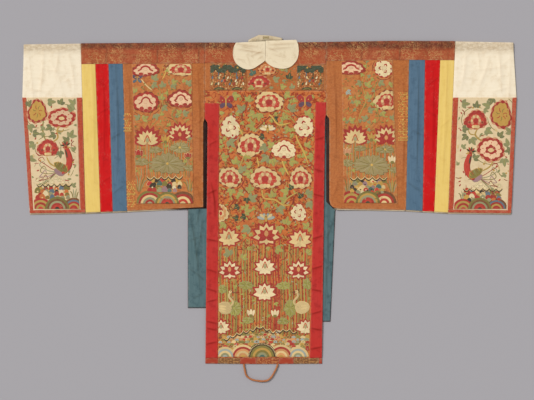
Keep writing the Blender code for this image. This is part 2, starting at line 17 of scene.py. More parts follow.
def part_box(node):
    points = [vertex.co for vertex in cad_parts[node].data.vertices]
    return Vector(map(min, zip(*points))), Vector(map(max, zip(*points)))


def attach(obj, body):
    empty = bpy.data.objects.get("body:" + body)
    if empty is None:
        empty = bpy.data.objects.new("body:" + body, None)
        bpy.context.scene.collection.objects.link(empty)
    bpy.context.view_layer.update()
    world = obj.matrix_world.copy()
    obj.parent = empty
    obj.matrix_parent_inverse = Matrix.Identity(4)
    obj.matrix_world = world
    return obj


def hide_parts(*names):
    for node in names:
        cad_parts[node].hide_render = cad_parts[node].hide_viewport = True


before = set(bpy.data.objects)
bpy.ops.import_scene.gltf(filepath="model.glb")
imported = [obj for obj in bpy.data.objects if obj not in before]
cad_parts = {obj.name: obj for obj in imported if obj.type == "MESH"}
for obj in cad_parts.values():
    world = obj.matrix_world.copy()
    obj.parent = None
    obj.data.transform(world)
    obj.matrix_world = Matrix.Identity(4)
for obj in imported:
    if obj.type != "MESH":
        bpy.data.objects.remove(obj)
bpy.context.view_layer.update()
MM = 0.001


# Camera, light and floor. The camera looks straight down from a ladder's height, as for a
# museum record picture. One broad lamp stands at the upper left, and the room fills the rest.
CAMERA_PLACE = (-0.009, -0.0016, 4.539)  # metres
LENS, FILM = 85, 36
LAMP_STRENGTH, LAMP_BREADTH, LAMP_WAY = 2.05, radians(16), (1.0, -0.9, -1.25)
ROOM_COLOUR, ROOM_STRENGTH = (1, 0.995, 0.985, 1), 0.5
FLOOR_SIZE, FLOOR_LEVEL, FLOOR_GRAIN = 12, -0.0006, 900  # metres, and grains to a metre


def linear(colour):
    """A colour as seen, as the renderer's own linear values."""
    return [(c / 255 + 0.055) ** 2.4 / 1.055**2.4 if c > 10 else c / 255 / 12.92 for c in colour]


def place_in_scene(name, data):
    """An object at the origin that holds a mesh, a lamp or the camera."""
    made = bpy.data.objects.new(name, data)
    bpy.context.scene.collection.objects.link(made)
    return made


def set_sockets(tree, node, values):
    """Sets a node's sockets by name or number: an output is wired, a plain value stays there."""
    for socket, value in values.items():
        if isinstance(value, bpy.types.NodeSocket):
            tree.links.new(value, node.inputs[socket])
        else:
            node.inputs[socket].default_value = value


def add_node(tree, kind, values):
    """A shader node of a kind, with its sockets set."""
    node = tree.nodes.new("ShaderNode" + kind)
    set_sockets(tree, node, values)
    return node


def blend(tree, share, first, second):
    """A mix of two colours, each a colour as seen or an output, by the second one's share."""
    node = tree.nodes.new("ShaderNodeMix")
    node.data_type = "RGBA"
    first, second = ((*linear(c), 1) if isinstance(c, tuple) else c for c in (first, second))
    set_sockets(tree, node, {0: share, 6: first, 7: second})
    return node.outputs[2]


def new_material(name):
    """A material, its node tree and its shader."""
    material = bpy.data.materials.new(name)
    material.use_nodes = True
    return material, material.node_tree, material.node_tree.nodes["Principled BSDF"]


lens = bpy.data.cameras.new("camera")
lens.lens, lens.sensor_width = LENS, FILM
camera = place_in_scene("camera", lens)
camera.location = CAMERA_PLACE
bpy.context.scene.camera = camera

lamp = place_in_scene("lamp", bpy.data.lights.new("lamp", "SUN"))
lamp.data.energy, lamp.data.angle = LAMP_STRENGTH, LAMP_BREADTH
lamp.rotation_euler = Vector(LAMP_WAY).to_track_quat("-Z", "Y").to_euler()

room = bpy.data.worlds.new("room")
room.use_nodes = True
fill = room.node_tree.nodes["Background"]
set_sockets(room.node_tree, fill, {"Color": ROOM_COLOUR, "Strength": ROOM_STRENGTH})
bpy.context.scene.world = room
bpy.context.scene.view_settings.view_transform = "Standard"

bpy.ops.mesh.primitive_plane_add(size=FLOOR_SIZE, location=(0, 0, FLOOR_LEVEL))
floor = bpy.context.object
floor.name = "floor"
floor_paper, tree, shader = new_material("floor_paper")
floor_place = add_node(tree, "TexCoord", {}).outputs["Object"]
grain = add_node(tree, "TexNoise", {"Scale": FLOOR_GRAIN, "Vector": floor_place}).outputs["Fac"]
soft_grey = blend(tree, grain, (168, 165, 169), (174, 171, 175))
set_sockets(tree, shader, {"Base Color": soft_grey, "Roughness": 0.9})
floor.data.materials.append(floor_paper)


# Hem loop: a cord of rolled orange silk, two strands twisted, sewn to the hem band at both
# ends. It lies on the surface and bows down below the hem.
LOOP_ROUTE = (
    (-92, -591.9), (-91.9, -597), (-90.6, -604), (-88.2, -615.4), (-84.5, -630), (-75.2, -641),
    (-58, -649), (-29, -653.2), (-9, -651), (4, -642), (13, -629), (20.5, -615.4), (26, -604),
    (28.4, -597), (28.8, -592.1),
)
LOOP_RADIUS = 3.5
LOOP_SIDES, LOOP_STEPS = 16, 6  # faces round the cord, and rings between two points of the route
STRAND_TWIST = 7.5  # millimetres along the cord for each radian that the strands turn
RELIEF_DEPTH = 0.0003  # metres, of the threads of all the silks


def node_group(name, numbers, results):
    """A shader node group that takes a vector and some numbers, with its inputs and its end."""
    group = bpy.data.node_groups.new(name, "ShaderNodeTree")
    group.interface.new_socket("Vector", in_out="INPUT", socket_type="NodeSocketVector")
    for socket, value in numbers.items():
        made = group.interface.new_socket(socket, in_out="INPUT", socket_type="NodeSocketFloat")
        made.default_value = value
    for socket in results:
        group.interface.new_socket(socket, in_out="OUTPUT", socket_type="NodeSocketFloat")
    return group, group.nodes.new("NodeGroupInput").outputs, group.nodes.new("NodeGroupOutput")


def use_group(tree, group, values):
    """A node group placed in a tree, as its outputs."""
    node = tree.nodes.new("ShaderNodeGroup")
    node.node_tree = group
    set_sockets(tree, node, values)
    return node.outputs


def maths(tree, kind, *values):
    """A maths node on outputs or plain numbers."""
    node = add_node(tree, "Math", dict(enumerate(values)))
    node.operation = kind
    return node.outputs[0]


def times(tree, first, *others):
    """The product of outputs or plain numbers."""
    for other in others:
        first = maths(tree, "MULTIPLY", first, other)
    return first


def noise(tree, vector, stretch, scale, detail=2.0, rough=0.5):
    """Noise on a vector that is stretched first, so that it runs along a thread."""
    stretched = add_node(tree, "Mapping", {"Vector": vector, "Scale": stretch}).outputs[0]
    values = {"Vector": stretched, "Scale": scale, "Detail": detail, "Roughness": rough}
    return add_node(tree, "TexNoise", values).outputs["Fac"]


def spread(tree, value, low, high, to_low=0.0, to_high=1.0):
    """A value taken from one range to another and held there."""
    values = dict(enumerate((value, low, high, to_low, to_high)))
    return add_node(tree, "MapRange", values).outputs[0]


def attribute(tree, name, part="Fac"):
    """A value or colour that the mesh carries at its points."""
    node = tree.nodes.new("ShaderNodeAttribute")
    node.attribute_name = name
    return node.outputs[part]


def relief(tree, height, strength):
    """The bump of the threads."""
    values = {"Strength": strength, "Distance": RELIEF_DEPTH, "Height": height}
    return add_node(tree, "Bump", values).outputs[0]


def make_weave():
    """Threads of silk: uneven slubs along one way or the other, and the fine weave."""
    group, given, end = node_group("silk_weave", {"Upright": 0.0}, ("Slub", "Thread"))
    vector = given["Vector"]
    lying = noise(group, vector, (12, 170, 1), 1, 4, 0.75)
    standing = noise(group, vector, (170, 12, 1), 1, 4, 0.75)
    slub = add_node(group, "Mix", {0: given["Upright"], 2: lying, 3: standing}).outputs[0]
    weft = noise(group, vector, (300, 1900, 1), 1, 1)
    warp = noise(group, vector, (1900, 300, 1), 1, 1)
    thread = maths(group, "ADD", weft, warp)
    set_sockets(group, end, {"Slub": spread(group, slub, 0.3, 0.7), "Thread": thread})
    return group


def make_age():
    """Uneven fading, stains and rubbed edges of old cloth."""
    group, given, end = node_group("old_cloth", {"Edge": 10.0}, ("Fade", "Stain", "Rub"))
    vector = given["Vector"]
    fade = spread(group, noise(group, vector, (9, 7, 1), 1, 3), 0.32, 0.68)
    stain = spread(group, noise(group, vector, (34, 30, 1), 1, 5, 0.7), 0.5, 0.72)
    near = spread(group, given["Edge"], 0.5, 6, 1, 0)
    patchy = spread(group, noise(group, vector, (60, 60, 1), 1, 3), 0.42, 0.62)
    set_sockets(group, end, {"Fade": fade, "Stain": stain, "Rub": times(group, near, patchy)})
    return group


weave = make_weave()
age = make_age()


def silk(name, colour, second, upright=0.0, stain=(120, 80, 50), stained=0.35, rub=0.3,
         bump=0.25, dressing=None, crease_shade=0.5):
    """A silk: two close colours in its slubs, faded and stained in places, rubbed at the edges
    and darkened along its creases as painted crease shade. Its slubs stand upright or lie across.
    dressing(tree, colour, vector) may lay a pattern on it and gives the new colour."""
    material, tree, shader = new_material(name)
    place = add_node(tree, "UVMap", {}).outputs[0]
    threads = use_group(tree, weave, {"Vector": place, "Upright": upright})
    old = use_group(tree, age, {"Vector": place, "Edge": attribute(tree, "edge")})
    base = blend(tree, threads["Slub"], colour, second)
    if dressing:
        base = dressing(tree, base, place)
    pale = tuple(min(255, c * 0.75 + 62) for c in colour)
    # deep is the painted crease shade that the fold mask lays along the creases
    deep = tuple(c * share for c, share in zip(colour, (0.74, 0.64, 0.54)))
    for mask, strength, laid in (
        (old["Fade"], 0.15, pale),
        (attribute(tree, "fold"), crease_shade, deep),
        (old["Stain"], stained, stain),
        (old["Rub"], rub, (214, 186, 150)),
    ):
        base = blend(tree, times(tree, mask, strength), base, laid)
    height = maths(tree, "ADD", threads["Thread"], threads["Slub"])
    set_sockets(tree, shader, {
        "Base Color": base,
        "Roughness": spread(tree, threads["Slub"], 0, 1, 0.66, 0.54),
        "Sheen Weight": 0.03,
        "Sheen Roughness": 0.4,
        "Specular IOR Level": 0.08,
        "Normal": relief(tree, height, bump),
    })
    return material


def smooth_route(route, steps):
    """Points of a smooth curve through the route's own points."""
    points = [Vector(place) for place in route]
    ends = [2 * points[0] - points[1], *points, 2 * points[-1] - points[-2]]
    path = []
    for a, b, c, d in zip(ends, ends[1:], ends[2:], ends[3:]):
        for step in range(steps):
            t = step / steps
            bend = 2 * a - 5 * b + 4 * c - d
            twist = 3 * b - a - 3 * c + d
            path.append((2 * b + (c - a) * t + bend * t**2 + twist * t**3) / 2)
    return [*path, points[-1]]


def add_piece(name, mesh, node=None):
    """A piece that rides on the robe and stands for its CAD piece, where it has one."""
    piece = place_in_scene(name, mesh)
    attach(piece, "root")
    if node:
        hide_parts(node)
    return piece


def add_loop():
    """A tube of rings along the route, drawn in where its two strands meet."""
    path = smooth_route([(x, y, LOOP_RADIUS) for x, y in LOOP_ROUTE], LOOP_STEPS)
    up = Vector((0, 0, 1))
    tube = bmesh.new()
    uv = tube.loops.layers.uv.new("UVMap")
    rings, run = [], 0.0
    for index, middle in enumerate(path):
        before, after = path[max(index - 1, 0)], path[min(index + 1, len(path) - 1)]
        across = (after - before).normalized().cross(up)
        run += (middle - before).length
        ring = []
        for side in range(LOOP_SIDES):
            turn = tau * side / LOOP_SIDES
            strand = abs(cos(turn - run / STRAND_TWIST))
            reach = min(LOOP_RADIUS * (0.8 + 0.2 * strand**0.7), LOOP_RADIUS)
            place = middle + (across * cos(turn) + up * sin(turn)) * reach
            ring.append((tube.verts.new(place * MM), run * MM, turn))
        rings.append(ring)
    for low, high in zip(rings, rings[1:]):
        for side in range(LOOP_SIDES):
            after = (side + 1) % LOOP_SIDES
            corners = (low[side], low[after], high[after], high[side])
            face = tube.faces.new([corner[0] for corner in corners])
            face.smooth = True
            for loop, corner in zip(face.loops, corners):
                turn = corner[2] if corner[2] or corners[0][2] < pi else tau
                loop[uv].uv = (corner[1], turn * LOOP_RADIUS * MM)
    tube.faces.new([corner[0] for corner in rings[0]][::-1])
    tube.faces.new([corner[0] for corner in rings[-1]])
    bmesh.ops.recalc_face_normals(tube, faces=tube.faces)
    mesh = bpy.data.meshes.new("hem_loop_cord")
    tube.to_mesh(mesh)
    tube.free()
    mesh.materials.append(silk("loop_cloth", (172, 104, 62), (190, 122, 78), rub=0, bump=0.5))
    cord = add_piece("hem_loop_cord", mesh, "hem_loop")


add_loop()


# Fronts and front leaves of the sleeves: interlined silk, faced with thin lining silk on the
# inside, near-black as painted shadow for the deep vents beside the body. They lie underneath, so
# they are finished plainly, with shallow creases of their own.
BACK_MIDDLE = -15  # the robe's middle line
UNDERSIDE = 0.0004  # metres: what lies lower than this is the side that rests on the surface
FRONT_CELL = 22  # how far apart these pieces are cut across, so that they can take creases
FRONT_RISE = 0.8  # the highest that a crease lifts a piece off the surface
HEM_EDGE = 9.5  # depth of the pale turning at the foot of a front leaf
SHADE_WIDTH = 2.8  # half width of the painted shade line along a crease
SWELLS, SWELL = 9, (55, 190)  # how many long waves make a cloth uneven, and their lengths
UNDER_CREASES = {  # on the underside, on either side of the robe's middle line
    "left": ((-840, 420, -700, 100, 0.9, 9), (-600, 520, -560, 60, 0.7, 7),
             (-480, 300, -300, 180, 1.0, 12), (-420, 40, -330, 420, 0.6, 8),
             (-780, 60, -690, 300, 0.8, 6), (-250, -40, -180, -330, 0.8, 9),
             (-120, 180, -70, -280, 0.7, 8), (-200, 350, -90, 240, 0.6, 7)),
    "right": ((280, 60, 330, 460, 0.8, 9), (440, 500, 520, 120, 0.7, 8),
              (600, 20, 640, 380, 0.6, 6), (720, 500, 800, 40, 0.9, 10),
              (360, 140, 470, 10, 0.8, 9), (60, 200, 110, -300, 0.8, 9),
              (20, -60, 160, -380, 0.6, 7), (190, 60, 150, -260, 0.6, 8)),
}


def cut_across(shape, place, normal):
    """Cuts all of a shape along a plane and keeps both sides."""
    geometry = shape.verts[:] + shape.edges[:] + shape.faces[:]
    bmesh.ops.bisect_plane(shape, geom=geometry, plane_co=place, plane_no=normal, dist=0.00002)


def copy_of(node, cell):
    """A merged copy of a CAD piece, cut across both ways so that it can take creases."""
    shape = bmesh.new()
    shape.from_mesh(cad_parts[node].data)
    bmesh.ops.remove_doubles(shape, verts=shape.verts, dist=0.00001)
    low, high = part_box(node)
    for axis in (0, 1):
        normal = Vector((1 - axis, axis, 0))
        count = max(int((high[axis] - low[axis]) / (cell * MM)), 1)
        for step in range(1, count):
            level = low[axis] + (high[axis] - low[axis]) * step / count
            cut_across(shape, normal * level, normal)
    return shape


def crease_height(creases, x, y, painted_shade=False):
    """Height of soft ridges and troughs, or the painted shade along their lines: x, y to x, y,
    height and width of each."""
    total = np.zeros_like(x)
    for x1, y1, x2, y2, height, width in creases:
        dx, dy = x2 - x1, y2 - y1
        share = np.clip(((x - x1) * dx + (y - y1) * dy) / (dx * dx + dy * dy), 0, 1)
        bow = width * 0.8 * np.sin(share * pi) * (1 if height > 0 else -1)
        away = np.hypot(x - x1 - dx * share + bow * dy / hypot(dx, dy), y - y1 - dy * share)
        if painted_shade:
            height, width = min(abs(height), 1.2), SHADE_WIDTH
        total += height * np.exp(-((away / width) ** 2)) * (0.35 + 0.65 * np.sin(share * pi))
    return total


def unevenness(x, y, seed, height):
    """A gentle rise and fall with no pattern to it."""
    draw = random.Random(seed)
    total = np.zeros_like(x)
    for _ in range(SWELLS):
        turn, length, start = draw.uniform(0, pi), draw.uniform(*SWELL), draw.uniform(0, tau)
        total += np.sin((x * cos(turn) + y * sin(turn)) / length * tau + start)
    return total / SWELLS * height


def lay_grain(shape):
    """Smooths the faces and lays the cloth's grain along the piece's own x and y."""
    uv = shape.loops.layers.uv.new("UVMap")
    for face in shape.faces:
        face.smooth = True
        for loop in face.loops:
            loop[uv].uv = loop.vert.co.xy


def add_sheet(shape, node, cloth_slot, *materials):
    """Turns a shape into the cloth that stands for a CAD piece, and gives its surface too."""
    mesh = bpy.data.meshes.new(node + "_cloth")
    shape.to_mesh(mesh)
    shape.free()
    for material in materials:
        mesh.materials.append(material)
    piece = add_piece(node + "_cloth", mesh, node)
    return piece, sum(face.area for face in mesh.polygons)


def under_piece(node, cloth_slot, outside, inside, held="laid"):
    """A hidden piece: its outside faces down or out of the fold, its inside faces up."""
    shape = copy_of(node, FRONT_CELL)
    creases = UNDER_CREASES["left" if shape.verts[:][0].co.x < BACK_MIDDLE * MM else "right"]
    for vertex in shape.verts:
        if vertex.co.z < UNDERSIDE:
            x, y = np.array([vertex.co.x / MM]), np.array([vertex.co.y / MM])
            vertex.co.z += min(max(crease_height(creases, x, y)[0], 0), FRONT_RISE) * MM
    low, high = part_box(node)
    edge = low + Vector((0, HEM_EDGE * MM, 0))
    hemmed = held == "folded" and outside != inside
    if hemmed:
        cut_across(shape, edge, (0, 1, 0))
    lay_grain(shape)
    for face in shape.faces:
        face.material_index = 1 if face.normal.z > 0.5 else 0
        if hemmed and face.calc_center_median().y < edge.y:
            face.material_index = 2
    piece, surface = add_sheet(shape, node, cloth_slot, outside, inside, edge_cloth)


def woven_pattern(light, pale, dark, deep):
    """A dressing of small leaves and scrolls, a little paler and deeper than the ground."""

    def dress(tree, base, place):
        scrolls = noise(tree, place, (1, 1.3, 1), 150, 2, 0.6)
        shadows = noise(tree, place, (1.2, 1, 1), 110, 3, 0.7)
        base = blend(tree, spread(tree, scrolls, 0.5, 0.58, 0, light), base, pale)
        return blend(tree, spread(tree, shadows, 0.52, 0.6, 0, dark), base, deep)

    return dress


def fold_top_shade(tree, base, place):
    """Mottled tan along the folded top: painted shade where the cloth rolls over the fold."""
    patchy = spread(tree, noise(tree, place, (1, 1.6, 1), 70, 4, 0.7), 0.34, 0.6, 0.35, 1)
    return blend(tree, times(tree, attribute(tree, "top"), patchy, 0.85), base, (190, 166, 132))


def worn_through(tree, base, place):
    """Pale flecks where the silk's threads are broken."""
    flecks = spread(tree, noise(tree, place, (1, 0.5, 1), 420, 2, 0.6), 0.62, 0.7)
    where = spread(tree, noise(tree, place, (1, 1, 1), 14, 3), 0.5, 0.6)
    return blend(tree, times(tree, flecks, where, 0.7), base, (232, 180, 150))


damask = woven_pattern(0.3, (206, 138, 78), 0.3, (140, 74, 44))
brocade = woven_pattern(0.5, (222, 160, 96), 0.5, (116, 44, 30))
orange_cloth = silk("orange_silk", (180, 104, 56), (192, 112, 60), stain=(120, 66, 36),
                    dressing=damask)
blue_cloth = silk("blue_silk", (80, 108, 130), (92, 120, 142), 1, (52, 74, 92), 0.5, 0.1)
red_cloth = silk("red_silk", (206, 16, 18), (211, 26, 26), 1, (150, 20, 24), 0.5, 0.2,
                 dressing=worn_through)
yellow_cloth = silk("yellow_silk", (235, 199, 104), (244, 210, 122), 1, (205, 160, 80), 0.3, 0.1,
                    crease_shade=0.25)
white_cloth = silk("white_silk", (255, 240, 213), (249, 232, 202), 0, (220, 194, 156), 0.5, 0.1,
                   dressing=fold_top_shade, crease_shade=0.16)
# Near-black lining: painted shadow seen through the vents between the sleeves and the body.
shadow_lining_cloth = silk("lining_painted_shadow", (44, 28, 26), (58, 36, 32), stained=0.2, rub=0)
edge_cloth = silk("pale_edge", (206, 184, 150), (222, 202, 170), stained=0.3, rub=0)
front_cloth = silk("front_red_silk", (168, 38, 38), (182, 46, 44), 1, (120, 24, 26), 0.5, 0.2)
collar_cloth = silk("collar_paper", (243, 226, 194), (237, 218, 183), 0, (200, 176, 138), 0.6, 0,
                    crease_shade=0.6)
BANDS = (  # the sleeve's pieces from the armhole to the wrist
    ("panel", "orange_silk", orange_cloth),
    ("blue_band", "blue_silk", blue_cloth),
    ("red_band", "red_silk", red_cloth),
    ("yellow_band", "yellow_silk", yellow_cloth),
    ("cuff", "white_silk", white_cloth),
)
SIDES = ("left", "right")

for side in SIDES:
    under_piece(f"front_{side}", "red_silk", front_cloth, shadow_lining_cloth)
    for band, cloth_slot, cloth in BANDS:
        under_piece(f"{side}_{band}_front", cloth_slot, cloth, shadow_lining_cloth, "folded")
    under_piece(f"neck_band_{side}", "collar_paper", collar_cloth, collar_cloth)


# Front linings: thin teal silk, hemmed at the foot and felled to the fronts. They show beside
# the back panel, where they lie in soft creases, and are plain where the back covers them.
LINING_CELL = 5
SHOWN_FROM = 195  # how far from the middle line the lining comes out from under the back
SHOWN_BELOW = 40  # it lies in creases below this line, where no sleeve covers it
LINING_TOP = 0.0026  # metres: the height that tells its upper face from its underside
LINING_CREASES = (
    (-288, -40, -250, -330, 1.5, 7), (-240, -60, -262, -200, 1, 5),
    (-290, -150, -235, -128, 0.9, 5), (-286, -250, -236, -290, 1.2, 6),
    (-275, -355, -240, -340, 1, 4), (-248, 40, -262, -90, 1.4, 6), (212, 60, 200, -380, 1.2, 6),
    (232, -60, 204, -140, 1, 5), (230, -220, 200, -250, 0.9, 5), (234, -330, 206, -352, 1, 4),
    (226, 150, 222, -20, 0.9, 5), (198, -395, 231, -410, 0.8, 3),
)
teal_cloth = silk("teal_silk", (79, 105, 109), (95, 121, 124), 1, (48, 72, 80), 0.7, 0.1)


def add_lining(side):
    """A front's lining, creased where it shows."""
    node = f"front_lining_{side}"
    shape = copy_of(node, LINING_CELL)
    edge = shape.verts.layers.float.new("edge")
    fold = shape.verts.layers.float.new("fold")
    low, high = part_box(node)
    outer = low.x if side == "left" else high.x
    x, y = (np.array([vertex.co[axis] for vertex in shape.verts]) / MM for axis in (0, 1))
    shown = 1 - np.clip((np.abs(x - BACK_MIDDLE) - SHOWN_FROM) / -12, 0, 1)
    shown *= np.clip((SHOWN_BELOW - y) / 60, 0, 1)
    soft = crease_height(LINING_CREASES, x, y) + 0.25 + unevenness(x, y, 7, 0.5)
    # painted shade along the lining's creases
    painted_shade = crease_height(LINING_CREASES, x, y, True)
    for vertex, rise, line, share in zip(shape.verts, soft, painted_shade, shown):
        vertex[edge] = min(abs(vertex.co.x - outer), vertex.co.y - low.y) / MM
        vertex[fold] = line
        if vertex[edge] > 1 or vertex.co.z > LINING_TOP:
            vertex.co.z += max(rise, 0) * share * MM
    lay_grain(shape)
    piece, surface = add_sheet(shape, node, "teal_silk", teal_cloth)


for side in SIDES:
    add_lining(side)


# Sleeves, back leaf: bands of silk on interlining, seamed edge to edge and folded over at the
# top. The folds of long storage run up and down them, and the sewn seams draw the cloth in.
FOLD = 3.5  # how high the middle of the folded top lies over the surface
CLOTH = 1.8  # thickness of a leaf
BACK_TURN = (68, 45, 24, 9, 6)  # angles of a piece's rows round the folded top
CELL = 4.5  # size of the cloth's faces
HEM_ROLL = 1.1  # how far in from its edges a piece is rounded down
TOP_ROUND = 22  # how far below the folded top a piece begins to bend over
GRID = 4.0  # spacing of the places where the form of the solids is read
SOFTENING = 7.0
OVERHEAD = 50  # the form is felt for from this height
LEVEL_FACE = 0.93  # a face of the solids counts as an upper face if it points up this much
DEEPEST = -0.6  # no crease goes further below the form than this
CORNER, TOP_CORNER = 34, 14  # no hem or top edge bends away more than this at a corner
INSET = 0.4  # how far inside the edge of its CAD piece a cloth stays
PAST_FOOT, PAST_TOP = 60, 40  # how far a piece's sides are drawn on past its foot and top
NEAR_EDGE = (1.2, 3.0)  # the two close lines of faces along an edge


class Ground:
    """The laid cloth's upper face: the CAD pieces' own form, softened, with creases."""

    def __init__(self, nodes, creases, seed):
        points, faces = [], []
        for node in nodes:
            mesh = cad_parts[node].data
            start = len(points)
            points += [v.co / MM for v in mesh.vertices]
            faces += [[start + i for i in f.vertices] for f in mesh.polygons]
        tree = BVHTree.FromPolygons(points, faces)
        corners = np.array(points)
        self.low = corners[:, :2].min(0) - 2 * GRID
        count = ((corners[:, :2].max(0) + 2 * GRID - self.low) / GRID).astype(int) + 1
        heights = np.full((count[0], count[1]), np.nan)
        down = Vector((0, 0, -1))
        for i in range(count[0]):
            for j in range(count[1]):
                x, y = self.low[0] + i * GRID, self.low[1] + j * GRID
                place, normal, _, _ = tree.ray_cast(Vector((x, y, OVERHEAD)), down)
                if place and normal.z > LEVEL_FACE:
                    heights[i, j] = place.z
        while np.isnan(heights).any():
            ring = np.pad(heights, 1, constant_values=np.nan)
            around = [ring[1 + a : ring.shape[0] - 1 + a, 1 + b : ring.shape[1] - 1 + b]
                      for a in (-1, 0, 1) for b in (-1, 0, 1)]
            known = ~np.isnan(around)
            total = np.nansum(around, axis=0)
            empty = np.isnan(heights) & known.any(0)
            heights[empty] = total[empty] / known.sum(0)[empty]
        weights = np.exp(-((np.arange(-4, 5) * GRID / SOFTENING) ** 2) / 2)
        weights /= weights.sum()
        for axis in (0, 1):
            padded = np.pad(heights, [(4, 4) if a == axis else (0, 0) for a in (0, 1)],
                            mode="edge")
            size = heights.shape[axis]
            moved = (np.take(padded, range(k, k + size), axis) for k in range(len(weights)))
            heights = sum(w * part for w, part in zip(weights, moved))
        self.heights = heights
        self.creases = creases
        self.seed = seed

    def plain(self, x, y):
        """The softened form alone."""
        u = np.clip((x - self.low[0]) / GRID, 0, self.heights.shape[0] - 1.001)
        v = np.clip((y - self.low[1]) / GRID, 0, self.heights.shape[1] - 1.001)
        i, j = u.astype(int), v.astype(int)
        a, b = u - i, v - j
        h = self.heights
        low = h[i, j] * (1 - a) + h[i + 1, j] * a
        return low * (1 - b) + (h[i, j + 1] * (1 - a) + h[i + 1, j + 1] * a) * b

    def at(self, x, y):
        """Height with the creases and the unevenness, never far below the form."""
        extra = crease_height(self.creases, x, y) + unevenness(x, y, self.seed, 0.9) + 0.1
        return self.plain(x, y) + np.maximum(extra, DEEPEST)


def crossing(edges, axis, level):
    """Lowest and highest place on the other axis where a piece's edges cross a line."""
    a, b = edges[:, 0], edges[:, 1]
    reach = (a[:, axis] - level) * (b[:, axis] - level) <= 0
    reach &= np.abs(a[:, axis] - b[:, axis]) > 0.0001
    a, b = a[reach], b[reach]
    if not len(a):
        return None
    share = (level - a[:, axis]) / (b[:, axis] - a[:, axis])
    place = a[:, 1 - axis] + share * (b[:, 1 - axis] - a[:, 1 - axis])
    return place.min(), place.max()


def shares(length, cell):
    """Places across a piece, from 0 to 1: even cells, and two close lines at each end."""
    near = [e / length for e in NEAR_EDGE]
    count = max(int((length - 2 * NEAR_EDGE[1]) / cell), 1)
    inner = [near[1] + (1 - 2 * near[1]) * k / count for k in range(count + 1)]
    return np.array([0, near[0], *inner, 1 - near[0], 1])


def outline(node, folded, lift, round_foot):
    """The piece's sides as x at a level, and its foot and top as y at an x."""
    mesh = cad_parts[node].data
    corners = np.array([v.co for v in mesh.vertices]) / MM
    pairs = [(e.vertices[0], e.vertices[1]) for e in mesh.edges]
    edges = corners[np.array(pairs)]
    low, high = corners.min(0), corners.max(0)
    across = np.linspace(low[0] + INSET, high[0] - INSET, 80)
    feet, tops = np.array([crossing(edges, 0, x) for x in across]).T
    if round_foot:
        feet[:] = low[1] + 0.1
    at_foot, at_top = feet < low[1] + CORNER, tops > high[1] - TOP_CORNER
    feet = np.interp(across, across[at_foot], feet[at_foot])
    tops = np.interp(across, across[at_top], tops[at_top])
    bottom = max(feet[3:-3].max() + INSET, low[1] + INSET)
    top = min(tops[3:-3].min() - (FOLD + lift if folded else INSET), high[1] - INSET)
    levels = np.linspace(bottom, top, 100)
    sides = np.array([crossing(edges, 1, y) for y in levels])
    slope_low = (sides[0] - sides[8]) / (levels[8] - levels[0])
    slope_high = (sides[-1] - sides[-9]) / (levels[-1] - levels[-9])
    levels = np.concatenate([[bottom - PAST_FOOT], levels, [top + PAST_TOP]])
    sides = np.vstack([sides[0] + slope_low * PAST_FOOT, sides,
                       sides[-1] + slope_high * PAST_TOP])
    return levels, sides, across, feet, tops


